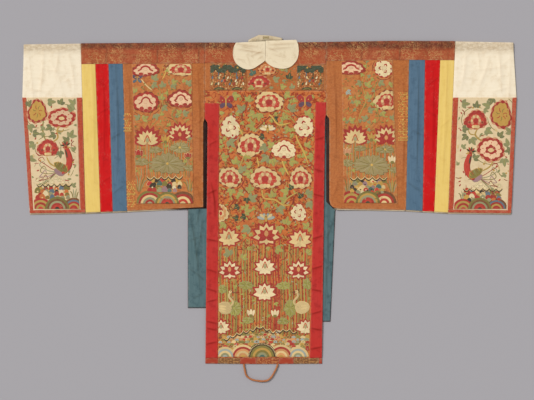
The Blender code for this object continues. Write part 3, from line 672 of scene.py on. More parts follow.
def add_cloth(node, ground, lift, thickness, cloth_slot, material, turn=(), rests_on=(),
              cell=CELL, marks=None, dip=0.55, keep=None, round_foot=False):
    """One piece of laid cloth: a fine sheet on its CAD piece's outline and form, thickened.
    turn are the angles of its rows round the folded top edge, and marks(x, y) gives masks."""
    reach = FOLD + lift
    levels, sides, across, feet, tops = outline(node, bool(turn), lift, round_foot)
    width = float(np.mean(sides[:, 1] - sides[:, 0]))
    length = float(np.mean(tops - feet))
    us, vs = shares(width, cell), shares(length, cell)
    if turn:
        vs = np.array([v for v in vs if v <= 1 - NEAR_EDGE[1] / length or v == 1])

    def x_at(u, y):
        left, right = np.interp(y, levels, sides[:, 0]), np.interp(y, levels, sides[:, 1])
        return left + u * (right - left)

    foot = np.full(len(us), float(np.mean(feet)))
    head = np.full(len(us), float(np.mean(tops)))
    for _ in range(4):
        foot = np.interp(x_at(us, foot), across, feet)
        head = np.interp(x_at(us, head), across, tops)
    if turn:
        head = head - reach
    y = foot[None, :] + vs[:, None] * (head - foot)[None, :]
    x = x_at(us[None, :], y)
    z = ground.at(x.ravel(), y.ravel()).reshape(x.shape) + lift
    wide = x[:, -1:] - x[:, :1]
    edge = np.minimum(us[None, :] * wide, (1 - us)[None, :] * wide)
    edge = np.minimum(edge, y - foot[None, :])
    if not turn:
        edge = np.minimum(edge, head[None, :] - y)
    rolled = dip * np.exp(-edge / HEM_ROLL)
    z -= rolled
    if turn:
        near = np.clip((y - (head[None, :] - TOP_ROUND)) / TOP_ROUND, 0, 1)
        near = near * near * (3 - 2 * near)
        z = z * (1 - near) + (FOLD + reach - rolled) * near
    grain_u = us[None, :] * wide
    grain_v = y - foot.mean()
    rows = [(x, y, z, grain_u, grain_v, edge)]
    for angle in turn:
        a = radians(angle)
        rows.append((
            x[-1:],
            head[None, :] + (reach - rolled[-1:]) * cos(a),
            np.full((1, len(us)), FOLD) + (reach - rolled[-1:]) * sin(a),
            grain_u[-1:],
            grain_v[-1:] + reach * (pi / 2 - a),
            edge[-1:],
        ))
    x, y, z, grain_u, grain_v, edge = (np.vstack(part) for part in zip(*rows))
    # fold: painted shade along the creases
    masks = {"edge": edge, "fold": crease_height(ground.creases, x, y, True)}
    if marks:
        masks.update(marks(x, y))
    shape = bmesh.new()
    uv = shape.loops.layers.uv.new("UVMap")
    layers = {mask: shape.verts.layers.float.new(mask) for mask in masks}
    verts = {}
    for j, i in np.ndindex(x.shape):
        if keep is None or keep(x[j, i], y[j, i]):
            verts[j, i] = shape.verts.new((x[j, i] * MM, y[j, i] * MM, z[j, i] * MM))
            for mask, layer in layers.items():
                verts[j, i][layer] = masks[mask][j, i]
    for j, i in np.ndindex(x.shape[0] - 1, x.shape[1] - 1):
        corners = ((j, i), (j, i + 1), (j + 1, i + 1), (j + 1, i))
        if all(corner in verts for corner in corners):
            face = shape.faces.new([verts[corner] for corner in corners])
            face.smooth = True
            for loop, corner in zip(face.loops, corners):
                loop[uv].uv = (grain_u[corner] * MM, grain_v[corner] * MM)
    loose = [vertex for vertex in shape.verts if not vertex.link_faces]
    bmesh.ops.delete(shape, geom=loose, context="VERTS")
    piece, cut = add_sheet(shape, node, cloth_slot, material)
    wall = piece.modifiers.new("Thickness", "SOLIDIFY")
    wall.thickness = thickness * MM
    wall.offset = -1


LEFT_CREASES = (
    (-868, 536, -845, 250, 1.3, 6.8), (-812, 545, -826, 372, 1.7, 5.2),
    (-786, 500, -742, 388, 1.4, 6), (-758, 548, -770, 452, 1.2, 4.5),
    (-722, 520, -700, 400, 1.6, 6), (-840, 470, -700, 452, 0.9, 5.2),
    (-868, 400, -790, 382, 1, 4.5), (-748, 420, -690, 436, 0.8, 4.5),
    (-800, 300, -790, 40, 1.2, 6), (-738, 250, -748, -20, 1, 5.2), (-640, 540, -630, 60, 1.3, 6.8),
    (-652, 300, -622, 270, 0.9, 4.5), (-600, 470, -596, 120, 1.2, 6),
    (-622, 430, -584, 402, 1, 3.8), (-612, 310, -574, 330, 0.9, 3.8), (-604, 60, -568, 82, 1, 4.5),
    (-552, 480, -546, 90, 1.4, 5.2), (-570, 220, -530, 240, 0.9, 3.8),
    (-562, 20, -524, 50, 1, 4.5), (-505, 430, -498, 30, 1.3, 5.2),
    (-512, 200, -488, 214, 0.8, 3.8), (-456, 470, -450, 300, 1.2, 6.8),
    (-402, 250, -392, 30, 1.3, 7.5), (-344, 480, -338, 260, 1.2, 6.8),
    (-478, 330, -300, 344, 1, 6), (-470, 120, -330, 100, 0.9, 6), (-258, 470, -250, 140, 1.2, 6),
    (-268, 60, -246, -16, 1, 5.2), (-440, 10, -300, -4, 0.9, 5.2),
    (-240, 300, -262, 270, 0.9, 4.5), (-872, 543, -822, 549, 0.9, 4),
    (-816, 540, -762, 547, 1.0, 4), (-754, 548, -702, 541, 0.9, 4),
    (-852, 529, -802, 520, 0.8, 3.5), (-782, 524, -736, 532, 0.8, 3.5),
    (-730, 522, -702, 500, 0.8, 3.5), (-862, 500, -816, 470, 0.8, 4),
    (-804, 486, -792, 440, 0.8, 4), (-842, 440, -800, 424, 0.8, 4), (-776, 446, -754, 402, 0.8, 4),
    (-736, 470, -704, 462, 0.7, 3.5), (-866, 380, -836, 392, 0.7, 3.5),
    (-660, 530, -470, 520, 0.7, 6), (-420, 526, -260, 540, 0.7, 6),
)
RIGHT_CREASES = (
    (868, 540, 846, 230, 1.3, 6.8), (820, 552, 834, 385, 1.6, 5.2), (790, 515, 752, 395, 1.4, 6),
    (742, 552, 758, 462, 1.2, 4.5), (706, 528, 690, 404, 1.6, 6), (846, 476, 716, 462, 0.9, 5.2),
    (862, 404, 800, 386, 1, 4.5), (760, 428, 700, 440, 0.8, 4.5), (806, 280, 790, 30, 1.2, 6),
    (742, 240, 752, -16, 1, 5.2), (640, 545, 622, 60, 1.3, 6.8), (650, 290, 616, 262, 0.9, 4.5),
    (588, 470, 584, 110, 1.2, 6), (608, 440, 570, 412, 1, 3.8), (600, 300, 564, 322, 0.9, 3.8),
    (592, 70, 560, 92, 1, 4.5), (534, 480, 528, 90, 1.4, 5.2), (552, 230, 512, 250, 0.9, 3.8),
    (544, 30, 506, 56, 1, 4.5), (482, 430, 478, 30, 1.3, 5.2), (494, 190, 468, 204, 0.8, 3.8),
    (430, 480, 424, 310, 1.2, 6.8), (376, 240, 368, 30, 1.3, 7.5), (322, 490, 316, 250, 1.2, 6.8),
    (450, 322, 276, 340, 1, 6), (440, 110, 300, 96, 0.9, 6), (232, 480, 238, 150, 1.2, 6),
    (246, 70, 228, 10, 1, 5.2), (420, 6, 280, -2, 0.9, 5.2), (214, 300, 240, 276, 0.9, 4.5),
    (874, 546, 826, 551, 0.9, 4), (818, 543, 770, 550, 1.0, 4), (760, 549, 704, 544, 0.9, 4),
    (848, 531, 806, 524, 0.8, 3.5), (786, 528, 742, 521, 0.8, 3.5), (726, 530, 700, 508, 0.8, 3.5),
    (866, 508, 830, 478, 0.8, 4), (800, 492, 786, 446, 0.8, 4), (838, 446, 806, 430, 0.8, 4),
    (770, 456, 750, 412, 0.8, 4), (730, 478, 700, 486, 0.7, 3.5), (690, 430, 716, 398, 0.7, 3.5),
    (650, 540, 460, 530, 0.7, 6), (410, 540, 240, 530, 0.7, 6),
)
grounds = {
    side: Ground([f"{side}_{band}_back" for band, _, _ in BANDS], creases, seed)
    for side, creases, seed in (("left", LEFT_CREASES, 11), ("right", RIGHT_CREASES, 12))
}


FOLD_SHADE_FROM, FOLD_SHADE_DEPTH = 515, 26


def fold_top_mask(x, y):
    """Mask of the cuffs' folded top, for its painted shade."""
    return {"top": np.clip((y - FOLD_SHADE_FROM) / FOLD_SHADE_DEPTH, 0, 1) ** 1.7}


for side in SIDES:
    for band, cloth_slot, cloth in BANDS:
        add_cloth(f"{side}_{band}_back", grounds[side], 0, CLOTH, cloth_slot, cloth, BACK_TURN,
                  [f"{side}_{band}_front_cloth"], marks=fold_top_mask if band == "cuff" else None)


# Back: yoke, long panel and pieced hem band, of interlined silk like the sleeves. The panel's
# storage folds run across it, and it puffs up a little between them.
NECK_TOP, NECK_RADIUS = 633, 88
HEM_BAND_TOP = 2.25  # height of the hem band's upper face
BODY_CREASES = (
    (-225, 232, 195, 228, -0.4, 6.8), (-228, 124, 190, 126, -0.4, 6.8), (-60, 150, -52, -60, 1, 9),
    (-150, 350, -140, 210, 1, 7.5), (40, 330, 50, 180, 1, 8.2), (-225, -92, 190, -90, -0.4, 6),
    (-210, 60, -196, -60, 1.8, 6), (-216, 196, -190, 210, 1.6, 6), (-222, 20, -190, 34, 1.4, 5.5),
    (-226, -142, -186, -150, 1.8, 5.5), (-226, -250, -190, -262, 1.6, 6),
    (-226, -320, -188, -332, 1.8, 5.5), (-226, -368, -190, -360, 1.4, 5.5),
    (-228, -437, -188, -446, 1.8, 5.5), (-228, -462, -190, -470, 1.2, 5.5),
    (-228, -520, -190, -512, 1.6, 5.5), (196, 224, 160, 214, 1.6, 6), (194, 100, 158, 112, 1.6, 6),
    (196, 10, 152, 22, 1.4, 6), (192, -130, 150, -142, 1.8, 5.5), (192, -238, 150, -250, 1.6, 6),
    (190, -330, 148, -322, 1.8, 5.5), (190, -400, 148, -412, 1.4, 5.5),
    (190, -470, 146, -462, 1.6, 5.5), (188, -530, 146, -538, 1.4, 5.5),
    (-100, -160, -90, -300, 1.2, 7.5), (80, -180, 76, -420, 1, 8.2),
    (-20, -330, -30, -520, 1, 7.5), (-170, 430, -60, 424, 0.8, 6), (30, 436, 160, 428, 0.8, 6),
    (120, 80, 112, -60, 0.9, 7.5), (-120, 60, -112, -70, 0.9, 7.5),
)
body_nodes = ["back_panel", "back_yoke"] + [f"hem_band_{number}" for number in range(1, 8)]
grounds["body"] = Ground(body_nodes, BODY_CREASES, 13)


def sewn_over(strength):
    """A dressing of the fine embroidery between the flowers: couched twigs and small leaves."""

    def dress(tree, base, place):
        wander = maths(tree, "SUBTRACT", noise(tree, place, (1, 1, 1), 38, 2, 0.5), 0.5)
        wander = maths(tree, "ABSOLUTE", wander)
        twigs = spread(tree, wander, 0.014, 0.034, 0.85 * strength, 0)
        leaves = noise(tree, place, (1, 1, 1), 52, 1, 0.4)
        leaves = spread(tree, leaves, 0.58, 0.61, 0, 0.7 * strength)
        return blend(tree, twigs, blend(tree, leaves, base, (170, 154, 84)), (146, 42, 30))

    return dress


def outside_neck(x, y):
    """True where the yoke isn't cut away for the neck."""
    return hypot(x - BACK_MIDDLE, y - NECK_TOP) > NECK_RADIUS


class FlatGround:
    """The hem band lies on the surface, nearly flat."""

    creases = ()

    def at(self, x, y):
        """Height of the upper face."""
        return HEM_BAND_TOP + np.maximum(unevenness(x, y, 17, 0.5), -0.1)


panel_cloth = silk("embroidered_silk", (200, 112, 58), (208, 120, 64), stain=(150, 66, 40),
                   stained=0.55, dressing=sewn_over(1))
linings = [f"front_lining_{side}_cloth" for side in SIDES]
add_cloth("back_yoke", grounds["body"], 0, CLOTH, "orange_silk", orange_cloth, BACK_TURN,
          linings, keep=outside_neck)
add_cloth("back_panel", grounds["body"], 0, CLOTH, "embroidered_silk", panel_cloth, (), linings)

plain = ("orange_red_silk",
         silk("foot_red_silk", (162, 60, 40), (174, 72, 48), 0, (150, 60, 40), 0.4, 0.3))
brown = ("olive_brocade", silk("brown_brocade", (118, 82, 50), (138, 96, 58), 0, (110, 76, 46),
                               0.5, 0.3, dressing=brocade))
orange = ("orange_brocade", silk("red_brocade", (148, 72, 44), (164, 84, 50), 0, (130, 60, 40),
                                 0.5, 0.3, dressing=brocade))
hem_cloths = (plain, brown, plain, orange, plain, brown, plain)
for number, (cloth_slot, cloth) in enumerate(hem_cloths, 1):
    add_cloth(f"hem_band_{number}", FlatGround(), 0, CLOTH, cloth_slot, cloth, cell=4, dip=0.3)


# Borders, strips and patches: thin silk and brocade, sewn flat on the robe with turned edges.
# The gilt of the strips' roundels is half gone, and their top edge is darkened as painted
# shade where it rolls over the fold.
APPLIED, APPLIED_LIFT = 0.9, 1.2  # thickness, and height of the upper face over the ground's
WRAP_TURN = (68, 45, 24, 9, -9, -40)  # angles of a strip's rows round the folded top
ROUNDEL = 37  # half the width of a gilt roundel
STRIP_ROUNDELS = (  # middles of the gilt roundels
    (-190.8, 540.5), (148, 541), (-625, 503), (-547, 520.4), (-453.2, 508.2), (-361.8, 524),
    (-289.8, 508.2), (237.6, 502.4), (318.6, 538.4), (408.6, 509.6), (502.2, 538.4),
    (588.6, 509.6),
)
STRIP_FOLDS = (-586, -403, -254, 207, 331, 468)  # where the strips were once folded, now worn


def roundels(x, y):
    """Masks of the gilt roundels, of the top edge, darkened as painted shade where it rolls over,
    and of the old folds, dark from wear.
    """
    away = np.min([np.hypot(x - a, y - b) for a, b in STRIP_ROUNDELS], axis=0) / ROUNDEL
    rings = 0.75 + 0.25 * np.cos(away * 17)
    gilt = np.clip((1.14 - away) * 2.5, 0, 1) * rings * 0.7 + 0.3
    folds = np.max([1 - np.abs(x - at - (y - 520) * 0.05) / 4.5 for at in STRIP_FOLDS], axis=0)
    return {"gilt": gilt, "top": np.clip(np.maximum((y - 535) / 14, folds * 0.8), 0, 1)}


def gilding(tree, base, place):
    """Gilt thread that is left only in specks, the top edge darkened as painted shade, and the
    old folds darkened as wear.
    """
    specks = add_node(tree, "TexVoronoi", {"Scale": 300, "Vector": place}).outputs["Distance"]
    near = spread(tree, specks, 0.36, 0.56, 1, 0)
    left_over = spread(tree, noise(tree, place, (1, 1, 1), 60, 3), 0.34, 0.54, 0.25, 1)
    gold = times(tree, near, left_over, attribute(tree, "gilt"), 0.9)
    mottled_shade_and_wear = spread(tree, noise(tree, place, (1, 1, 1), 40, 4, 0.7), 0.28, 0.56, 0.3, 1)
    # dark brown over the top mask: painted shade at the top edge, wear along the old folds
    base = blend(tree, times(tree, attribute(tree, "top"), mottled_shade_and_wear, 0.96), base, (88, 46, 34))
    return blend(tree, gold, base, (206, 164, 104))


def sew_on(node, ground, cloth_slot, cloth, under, turn=(), **more):
    """Thin cloth laid on another piece."""
    add_cloth(node, grounds[ground], APPLIED_LIFT, APPLIED, cloth_slot, cloth, turn,
              [under + "_cloth"], **more)


crimson_cloth = silk("crimson_silk", (188, 46, 40), (200, 54, 48), 1, (146, 30, 32), 0.7, 0.12,
                     crease_shade=0.85)
border_cloth = silk("orange_red_silk", (180, 64, 46), (192, 76, 54), 0, (150, 50, 38), 0.6, 0.25,
                    dressing=damask)
strip_cloth = silk("orange_brocade", (166, 76, 46), (178, 86, 52), 0, (122, 56, 36), 0.6, 0.3,
                   dressing=gilding)
patch_cloth = silk("patch_brocade", (158, 90, 48), (168, 98, 54), 0, (120, 70, 44), 0.6, 0.2,
                   dressing=brocade)
field_cloth = silk("field_silk", (194, 118, 64), (204, 127, 70), 0, (146, 74, 42), 0.6, 0.2,
                   dressing=sewn_over(0.45))
cream_cloth = silk("cream_silk", (225, 199, 156), (233, 208, 166), 0, (196, 164, 120), 0.5, 0.2,
                   crease_shade=0.15)
for side in SIDES:
    sew_on(f"back_border_{side}", "body", "crimson_silk", crimson_cloth, "back_panel", cell=3.0)
    sew_on(f"shoulder_strip_{side}", "body", "orange_brocade", strip_cloth, "back_yoke",
           WRAP_TURN, marks=roundels)
    sew_on(f"yoke_patch_{side}", "body", "olive_brocade", patch_cloth, "back_yoke")
    sew_on(f"{side}_field", side, "embroidered_silk", field_cloth, f"{side}_panel_back")
    sew_on(f"{side}_cuff_panel", side, "cream_silk", cream_cloth, f"{side}_cuff_back")
    for part in ("inner", "outer", "hem"):
        sew_on(f"{side}_cuff_border_{part}", side, "orange_red_silk", border_cloth,
               f"{side}_cuff_back")
    sew_on(f"{side}_sleeve_strip", side, "orange_brocade", strip_cloth, f"{side}_panel_back",
           WRAP_TURN, marks=roundels)


# Collar: stiff white paper and silk. The stand folds over behind the neck, and the two lobes
# turn down on the yoke, each with a thin piped edge.
LOBE, LOBE_HEIGHT = 1.2, 2.7  # thickness, and height over the yoke
LOBE_END = 560  # the lobes no longer follow the yoke past this line
COLLAR_CREASES = (
    (-122, 560, -42, 548, 0.9, 4), (-114, 540, -20, 525, 1.0, 4), (-64, 516, -26, 532, 0.9, 3),
    (-104, 552, -60, 540, 0.7, 3), (-84, 520, -70, 482, 0.6, 4), (-120, 505, -88, 500, 0.6, 3),
    (-4, 556, 92, 561, 0.9, 4), (0, 540, 74, 546, 0.8, 4), (10, 524, 60, 508, 0.6, 4),
    (84, 530, 96, 500, 0.7, 4), (-10, 548, 30, 530, 0.7, 3), (-40, 505, -24, 515, 0.8, 3),
)


class CollarGround:
    """The lobes lie on the yoke and its strips."""

    creases = COLLAR_CREASES

    def at(self, x, y):
        """Height of a lobe's upper face."""
        body = grounds["body"].plain(x, np.minimum(y, LOBE_END))
        soft = unevenness(x, y, 19, 0.7) + crease_height(COLLAR_CREASES, x, y)
        return body + LOBE_HEIGHT + np.maximum(soft, -0.2)


for side in SIDES:
    add_cloth(f"collar_lobe_{side}", CollarGround(), 0, LOBE, "collar_paper", collar_cloth, (),
              ["back_yoke_cloth", f"shoulder_strip_{side}_cloth"], cell=4, dip=0.35,
              round_foot=True)
# The stand's paper is a darker copy of the collar's: painted shade where it folds behind the
# lobes.
stand_cloth = silk("collar_paper_painted_shade", (216, 197, 163), (203, 183, 148), 0, (172, 146, 108),
                   0.8, 0, crease_shade=0.3)
under_piece("neck_stand", "collar_paper", stand_cloth, stand_cloth, held="folded")


# Embroidery of the back panel: silk floss in satin stitch, raised a little over the ground,
# with couched stems. Flowers and leaves above, lotus, herons and reeds below, and the sea with
# five hills at the foot, as on other robes of this kind.
THREAD = {
    "crimson": (168, 35, 35), "red": (190, 49, 40), "cream": (224, 193, 134),
    "white": (236, 214, 167), "gold": (198, 152, 70), "yellow": (212, 169, 81),
    "orange": (204, 108, 53), "peach": (212, 148, 92), "leaf": (164, 158, 79),
    "grey_green": (142, 142, 96), "olive": (126, 114, 53), "green": (116, 118, 79),
    "dark_green": (52, 65, 46), "black": (42, 33, 29), "teal": (66, 102, 92),
    "blue": (90, 110, 123), "pale_blue": (162, 169, 158), "purple": (88, 63, 85),
    "mauve": (156, 120, 125), "brown": (118, 69, 39), "twig": (134, 41, 26),
    "sand": (212, 183, 127), "pink": (206, 142, 103), "ash": (170, 160, 118),
    "sage": (150, 148, 109), "straw": (182, 148, 73), "reed": (145, 133, 65),
    "blush": (232, 190, 150), "amber": (222, 136, 64), "pad": (160, 141, 94),
}
STITCH_RING = 11  # how far apart a patch's rings are, so that it follows the cloth's creases
TINY, LARGE = 5, 14  # half widths of a patch that is plain, and of one with a floor of its own
SUNK, FLOOR = -0.25, -0.5  # how deep a patch's edge and floor lie in the cloth
PETAL_POINTS = 10
PAST_EDGE = 0.3  # what would lie past a panel's edge is drawn in to this, still in its order


def ring_of(x, y, rx, ry, lobes, depth, turn=0.0):
    """A round line with scallops."""
    t = np.arange(lobes * 4) / (lobes * 4) * tau
    r = 1 - depth * (1 - np.abs(np.sin(lobes * t / 2)))
    across, up = rx * r * np.cos(t + turn), ry * r * np.sin(t + turn)
    return np.stack([x + across, y + up], 1)


def petal_of(x, y, length, width, turn, lean):
    """A petal or leaf from its foot along a direction in degrees; lean makes the tip pointed."""
    t = np.arange(PETAL_POINTS) / PETAL_POINTS * tau
    along = length * (0.5 - 0.5 * np.cos(t))
    taper = (1 + lean) * np.abs(np.cos(t / 2)) ** (2 * lean) if lean > 0 else 1 + lean * np.cos(t)
    aside = -width / 2 * np.sin(t) * taper
    a = radians(turn)
    return np.stack([x + along * cos(a) - aside * sin(a), y + along * sin(a) + aside * cos(a)], 1)


class Stitching:
    """The raised patches and couched lines of one panel."""

    def __init__(self, name, ground, lift, hold, seed):
        self.name, self.ground, self.lift, self.hold = name, ground, lift, hold
        self.places, self.rise, self.faces, self.colours, self.grain = [], [], [], [], []
        self.count = 0
        self.taken = []
        self.vine = "twig"
        self.draw = random.Random(seed)

    def add_rings(self, rings, heights, colours, grain, faces):
        """Keeps the rings of one patch or line until the whole panel is made."""
        start = self.count
        for ring, height, colour in zip(rings, heights, colours):
            self.places.append(ring)
            self.rise.append(np.full(len(ring), 0.0) + height)
            self.colours.append(np.tile(colour, (len(ring), 1)))
            turned = ring[:, 0] * cos(grain) + ring[:, 1] * sin(grain)
            risen = ring[:, 1] * cos(grain) - ring[:, 0] * sin(grain)
            self.grain.append(np.stack([turned, risen], 1) * MM)
            self.count += len(ring)
        self.faces += [[start + corner for corner in face] for face in faces]

    def tone(self, name):
        """A thread's colour, a little paler or deeper each time."""
        shade = self.draw.uniform(0.95, 1.05)
        return np.array([min(c * shade, 255) for c in THREAD[name]])

    def patch(self, line, fill, rim=None, rim_width=2.8, base=0.0, rise=0.45, grain=90):
        """A crowned patch inside a line, with a rim of another colour if one is named."""
        middle = line.mean(0)
        if np.abs(self.hold(middle[None, :]) - middle).max() > 0.5:
            return
        spokes = line - middle
        size = np.hypot(spokes[:, 0], spokes[:, 1]).mean()
        inner = max(1 - rim_width / size, 0.5)
        fill = self.tone(fill)
        rim = self.tone(rim) if rim else fill
        if size > TINY:
            steps = max(ceil(size * inner / STITCH_RING), 2)
            inward = [inner * k / steps for k in range(steps, 0, -1)]
            scales = [1, 0.97, (1 + 2 * inner) / 3, *inward]
            heights = [SUNK, 0.45 * rise, 0.9 * rise, 0.93 * rise] + [rise] * (steps - 1)
            colours = [rim] * 3 + [fill] * steps
        else:
            scales, heights, colours = [1, 0.9, 0.5], [SUNK, 0.6 * rise, rise], [rim, fill, fill]
        n = len(line)
        last = (len(scales) - 1) * n
        faces = [(k + i, k + (i + 1) % n, k + n + (i + 1) % n, k + n + i)
                 for k in range(0, last, n) for i in range(n)]
        faces += [(last + i, last + (i + 1) % n, last + n) for i in range(n)]
        rings = [middle + spokes * scale for scale in scales] + [middle[None, :]]
        heights += [rise]
        colours += [fill]
        if size > LARGE:  # its underside follows the cloth too
            low = last + n + 1
            rings += [middle + spokes * 0.5, middle[None, :]]
            heights += [FLOOR, FLOOR]
            colours += [rim, rim]
            faces += [((i + 1) % n, i, low + i, low + (i + 1) % n) for i in range(n)]
            faces += [(low + (i + 1) % n, low + i, low + n) for i in range(n)]
        else:
            faces.append(list(range(n))[::-1])
        heights = [base + height for height in heights]
        self.add_rings(rings, heights, colours, radians(grain), faces)

    def petal(self, x, y, length, width, turn, lean, *how, **more):
        """A patch in the form of a petal or leaf."""
        self.patch(petal_of(x, y, length, width, turn, lean), *how, **more)

    def ring(self, x, y, rx, ry, lobes, depth, *how, **more):
        """A round patch with scallops."""
        self.patch(ring_of(x, y, rx, ry, lobes, depth), *how, **more)

    def line(self, points, width, colour, base=0.0, rise=0.4, taper=0.5):
        """A couched or stem-stitched line through points, thinner at its ends."""
        path = np.array([p.xy for p in smooth_route([(x, y, 0) for x, y in points], 4)])
        within = np.abs(self.hold(path) - path).max(axis=1) < 0.5
        if within.sum() < 3:
            return
        if not within.all():
            first = int(np.argmax(within))
            path = path[first:first + max(int(np.argmin(np.append(within[first:], False))), 1)]
            if len(path) < 3:
                return
        ahead = np.gradient(path, axis=0)
        ahead /= np.maximum(np.hypot(ahead[:, 0], ahead[:, 1]), 0.001)[:, None]
        aside = np.stack([ahead[:, 1], -ahead[:, 0]], 1)
        share = np.linspace(0, 1, len(path))
        half = width / 2 * (1 - taper * np.abs(2 * share - 1) ** 3)
        n = len(path)
        rings, heights = [], []
        section = ((-1, SUNK), (-0.7, 0.8 * rise), (0, rise), (0.7, 0.8 * rise), (1, SUNK))
        for offset, height in section:
            rings.append(path + aside * (half * offset)[:, None])
            heights.append(base + height)
        faces = []
        for k in range(5):
            low, high = k * n, (k + 1) % 5 * n
            faces += [(low + i, high + i, high + i + 1, low + i + 1) for i in range(n - 1)]
        faces.append([k * n for k in range(5)][::-1])
        faces.append([k * n + n - 1 for k in range(5)])
        self.add_rings(rings, heights, [self.tone(colour)] * 5, 0.0, faces)

    def take(self, x, y, reach):
        """Marks a round place as covered."""
        self.taken.append((x, y, reach))

    def free(self, x, y, reach):
        """True where nothing of this reach would touch a covered place."""
        return all(hypot(x - a, y - b) > reach + r for a, b, r in self.taken)

    def finish(self, material=None):
        """Lays all the stitches on the ground, as one piece."""
        wanted = np.vstack(self.places)
        places = self.hold(wanted)
        over = wanted - places
        places = places + PAST_EDGE * over / (10 + np.abs(over))
        z = self.ground.at(places[:, 0], places[:, 1]) + self.lift + np.concatenate(self.rise)
        corners = np.column_stack([places, z]) * MM
        mesh = bpy.data.meshes.new(self.name)
        mesh.from_pydata(corners.tolist(), [], self.faces)
        mesh.shade_smooth()
        colours = np.array([linear(colour) for colour in np.vstack(self.colours)])
        colours = np.column_stack([colours, np.ones(len(colours))])
        layer = mesh.color_attributes.new("thread", "FLOAT_COLOR", "POINT")
        layer.data.foreach_set("color", colours.ravel())
        corner_of = np.empty(len(mesh.loops), int)
        mesh.loops.foreach_get("vertex_index", corner_of)
        uv = mesh.uv_layers.new(name="UVMap")
        uv.data.foreach_set("uv", np.vstack(self.grain)[corner_of].ravel())
        mesh.materials.append(material or floss)
        add_piece(self.name, mesh)


def make_floss():
    """Satin stitch: fine parallel strands, some paler as painted sheen and some darker, with a
    soft lustre, a little worn and faded.
    """
    group, given, end = node_group("satin_stitch", {}, ("Strand", "Wear"))
    strand = noise(group, given["Vector"], (1500, 90, 1), 1, 2)
    patchy = noise(group, given["Vector"], (130, 110, 1), 1, 4, 0.7)
    set_sockets(group, end, {"Strand": strand, "Wear": spread(group, patchy, 0.52, 0.75)})
    material, tree, shader = new_material("silk_floss")
    place = add_node(tree, "UVMap", {}).outputs[0]
    strand, wear = use_group(tree, group, {"Vector": place})
    base = attribute(tree, "thread", "Color")
    # pale streaks along the strands: painted sheen
    base = blend(tree, spread(tree, strand, 0.35, 0.65, 0, 0.1), base, (240, 220, 180))
    base = blend(tree, spread(tree, strand, 0.3, 0.5, 0.16, 0), base, (70, 44, 30))
    set_sockets(tree, shader, {
        "Base Color": blend(tree, times(tree, wear, 0.22), base, (176, 116, 76)),
        "Roughness": 0.5,
        "Specular IOR Level": 0.12,
        "Sheen Weight": 0.03,
        "Normal": relief(tree, strand, 0.4),
    })
    return material


floss = make_floss()
PEONY = {  # how it is built, outline, rim, body, marks
    "arched": ("arched", "twig", "crimson", "blush", "crimson"),
    "pink": ("arched", "crimson", "peach", "cream", "red"),
    "white": ("arched", "crimson", "white", "white", "crimson"),
    "ringed": ("ringed", "pink", "crimson", "blush", "crimson"),
    "full": ("full", "twig", "cream", "red", "cream"),
    "rose": ("full", "pink", "crimson", "red", "cream"),
    "orange": ("full", "twig", "peach", "orange", "cream"),
    "cupped": ("cupped", "twig", "cream", "peach", "crimson"),
    "loose": ("loose", "crimson", "white", "white", "crimson"),
    "gold": ("gold", "pink", "crimson", "gold", "olive"),
}


def flower_line(x, y, w, h, lobes, depth, turn):
    """The outline of a full flower: uneven scallops, and narrower towards its top."""
    line = ring_of(x, y, w / 2, h / 2, lobes, depth, turn)
    across, up = (line[:, 0] - x) / w * 2, (line[:, 1] - y) / h * 2
    t = np.arctan2(up, across)
    swell = 1 + 0.055 * np.sin(2 * t + x) + 0.045 * np.sin(3 * t + y)
    swell += 0.03 * np.sin(5 * t + x + y)
    return np.stack([x + across * swell * w / 2 * (1 - 0.16 * up), y + up * swell * h / 2], 1)


def scaled(x, y, w, h):
    """Turns places that are shares of a motif's width and height into real ones."""
    return lambda *places: [(x + px * w, y + py * h) for px, py in places]


def out(t, across, up=None):
    """A place at some way out from the middle, at an angle."""
    return cos(t) * across, sin(t) * (across if up is None else up)


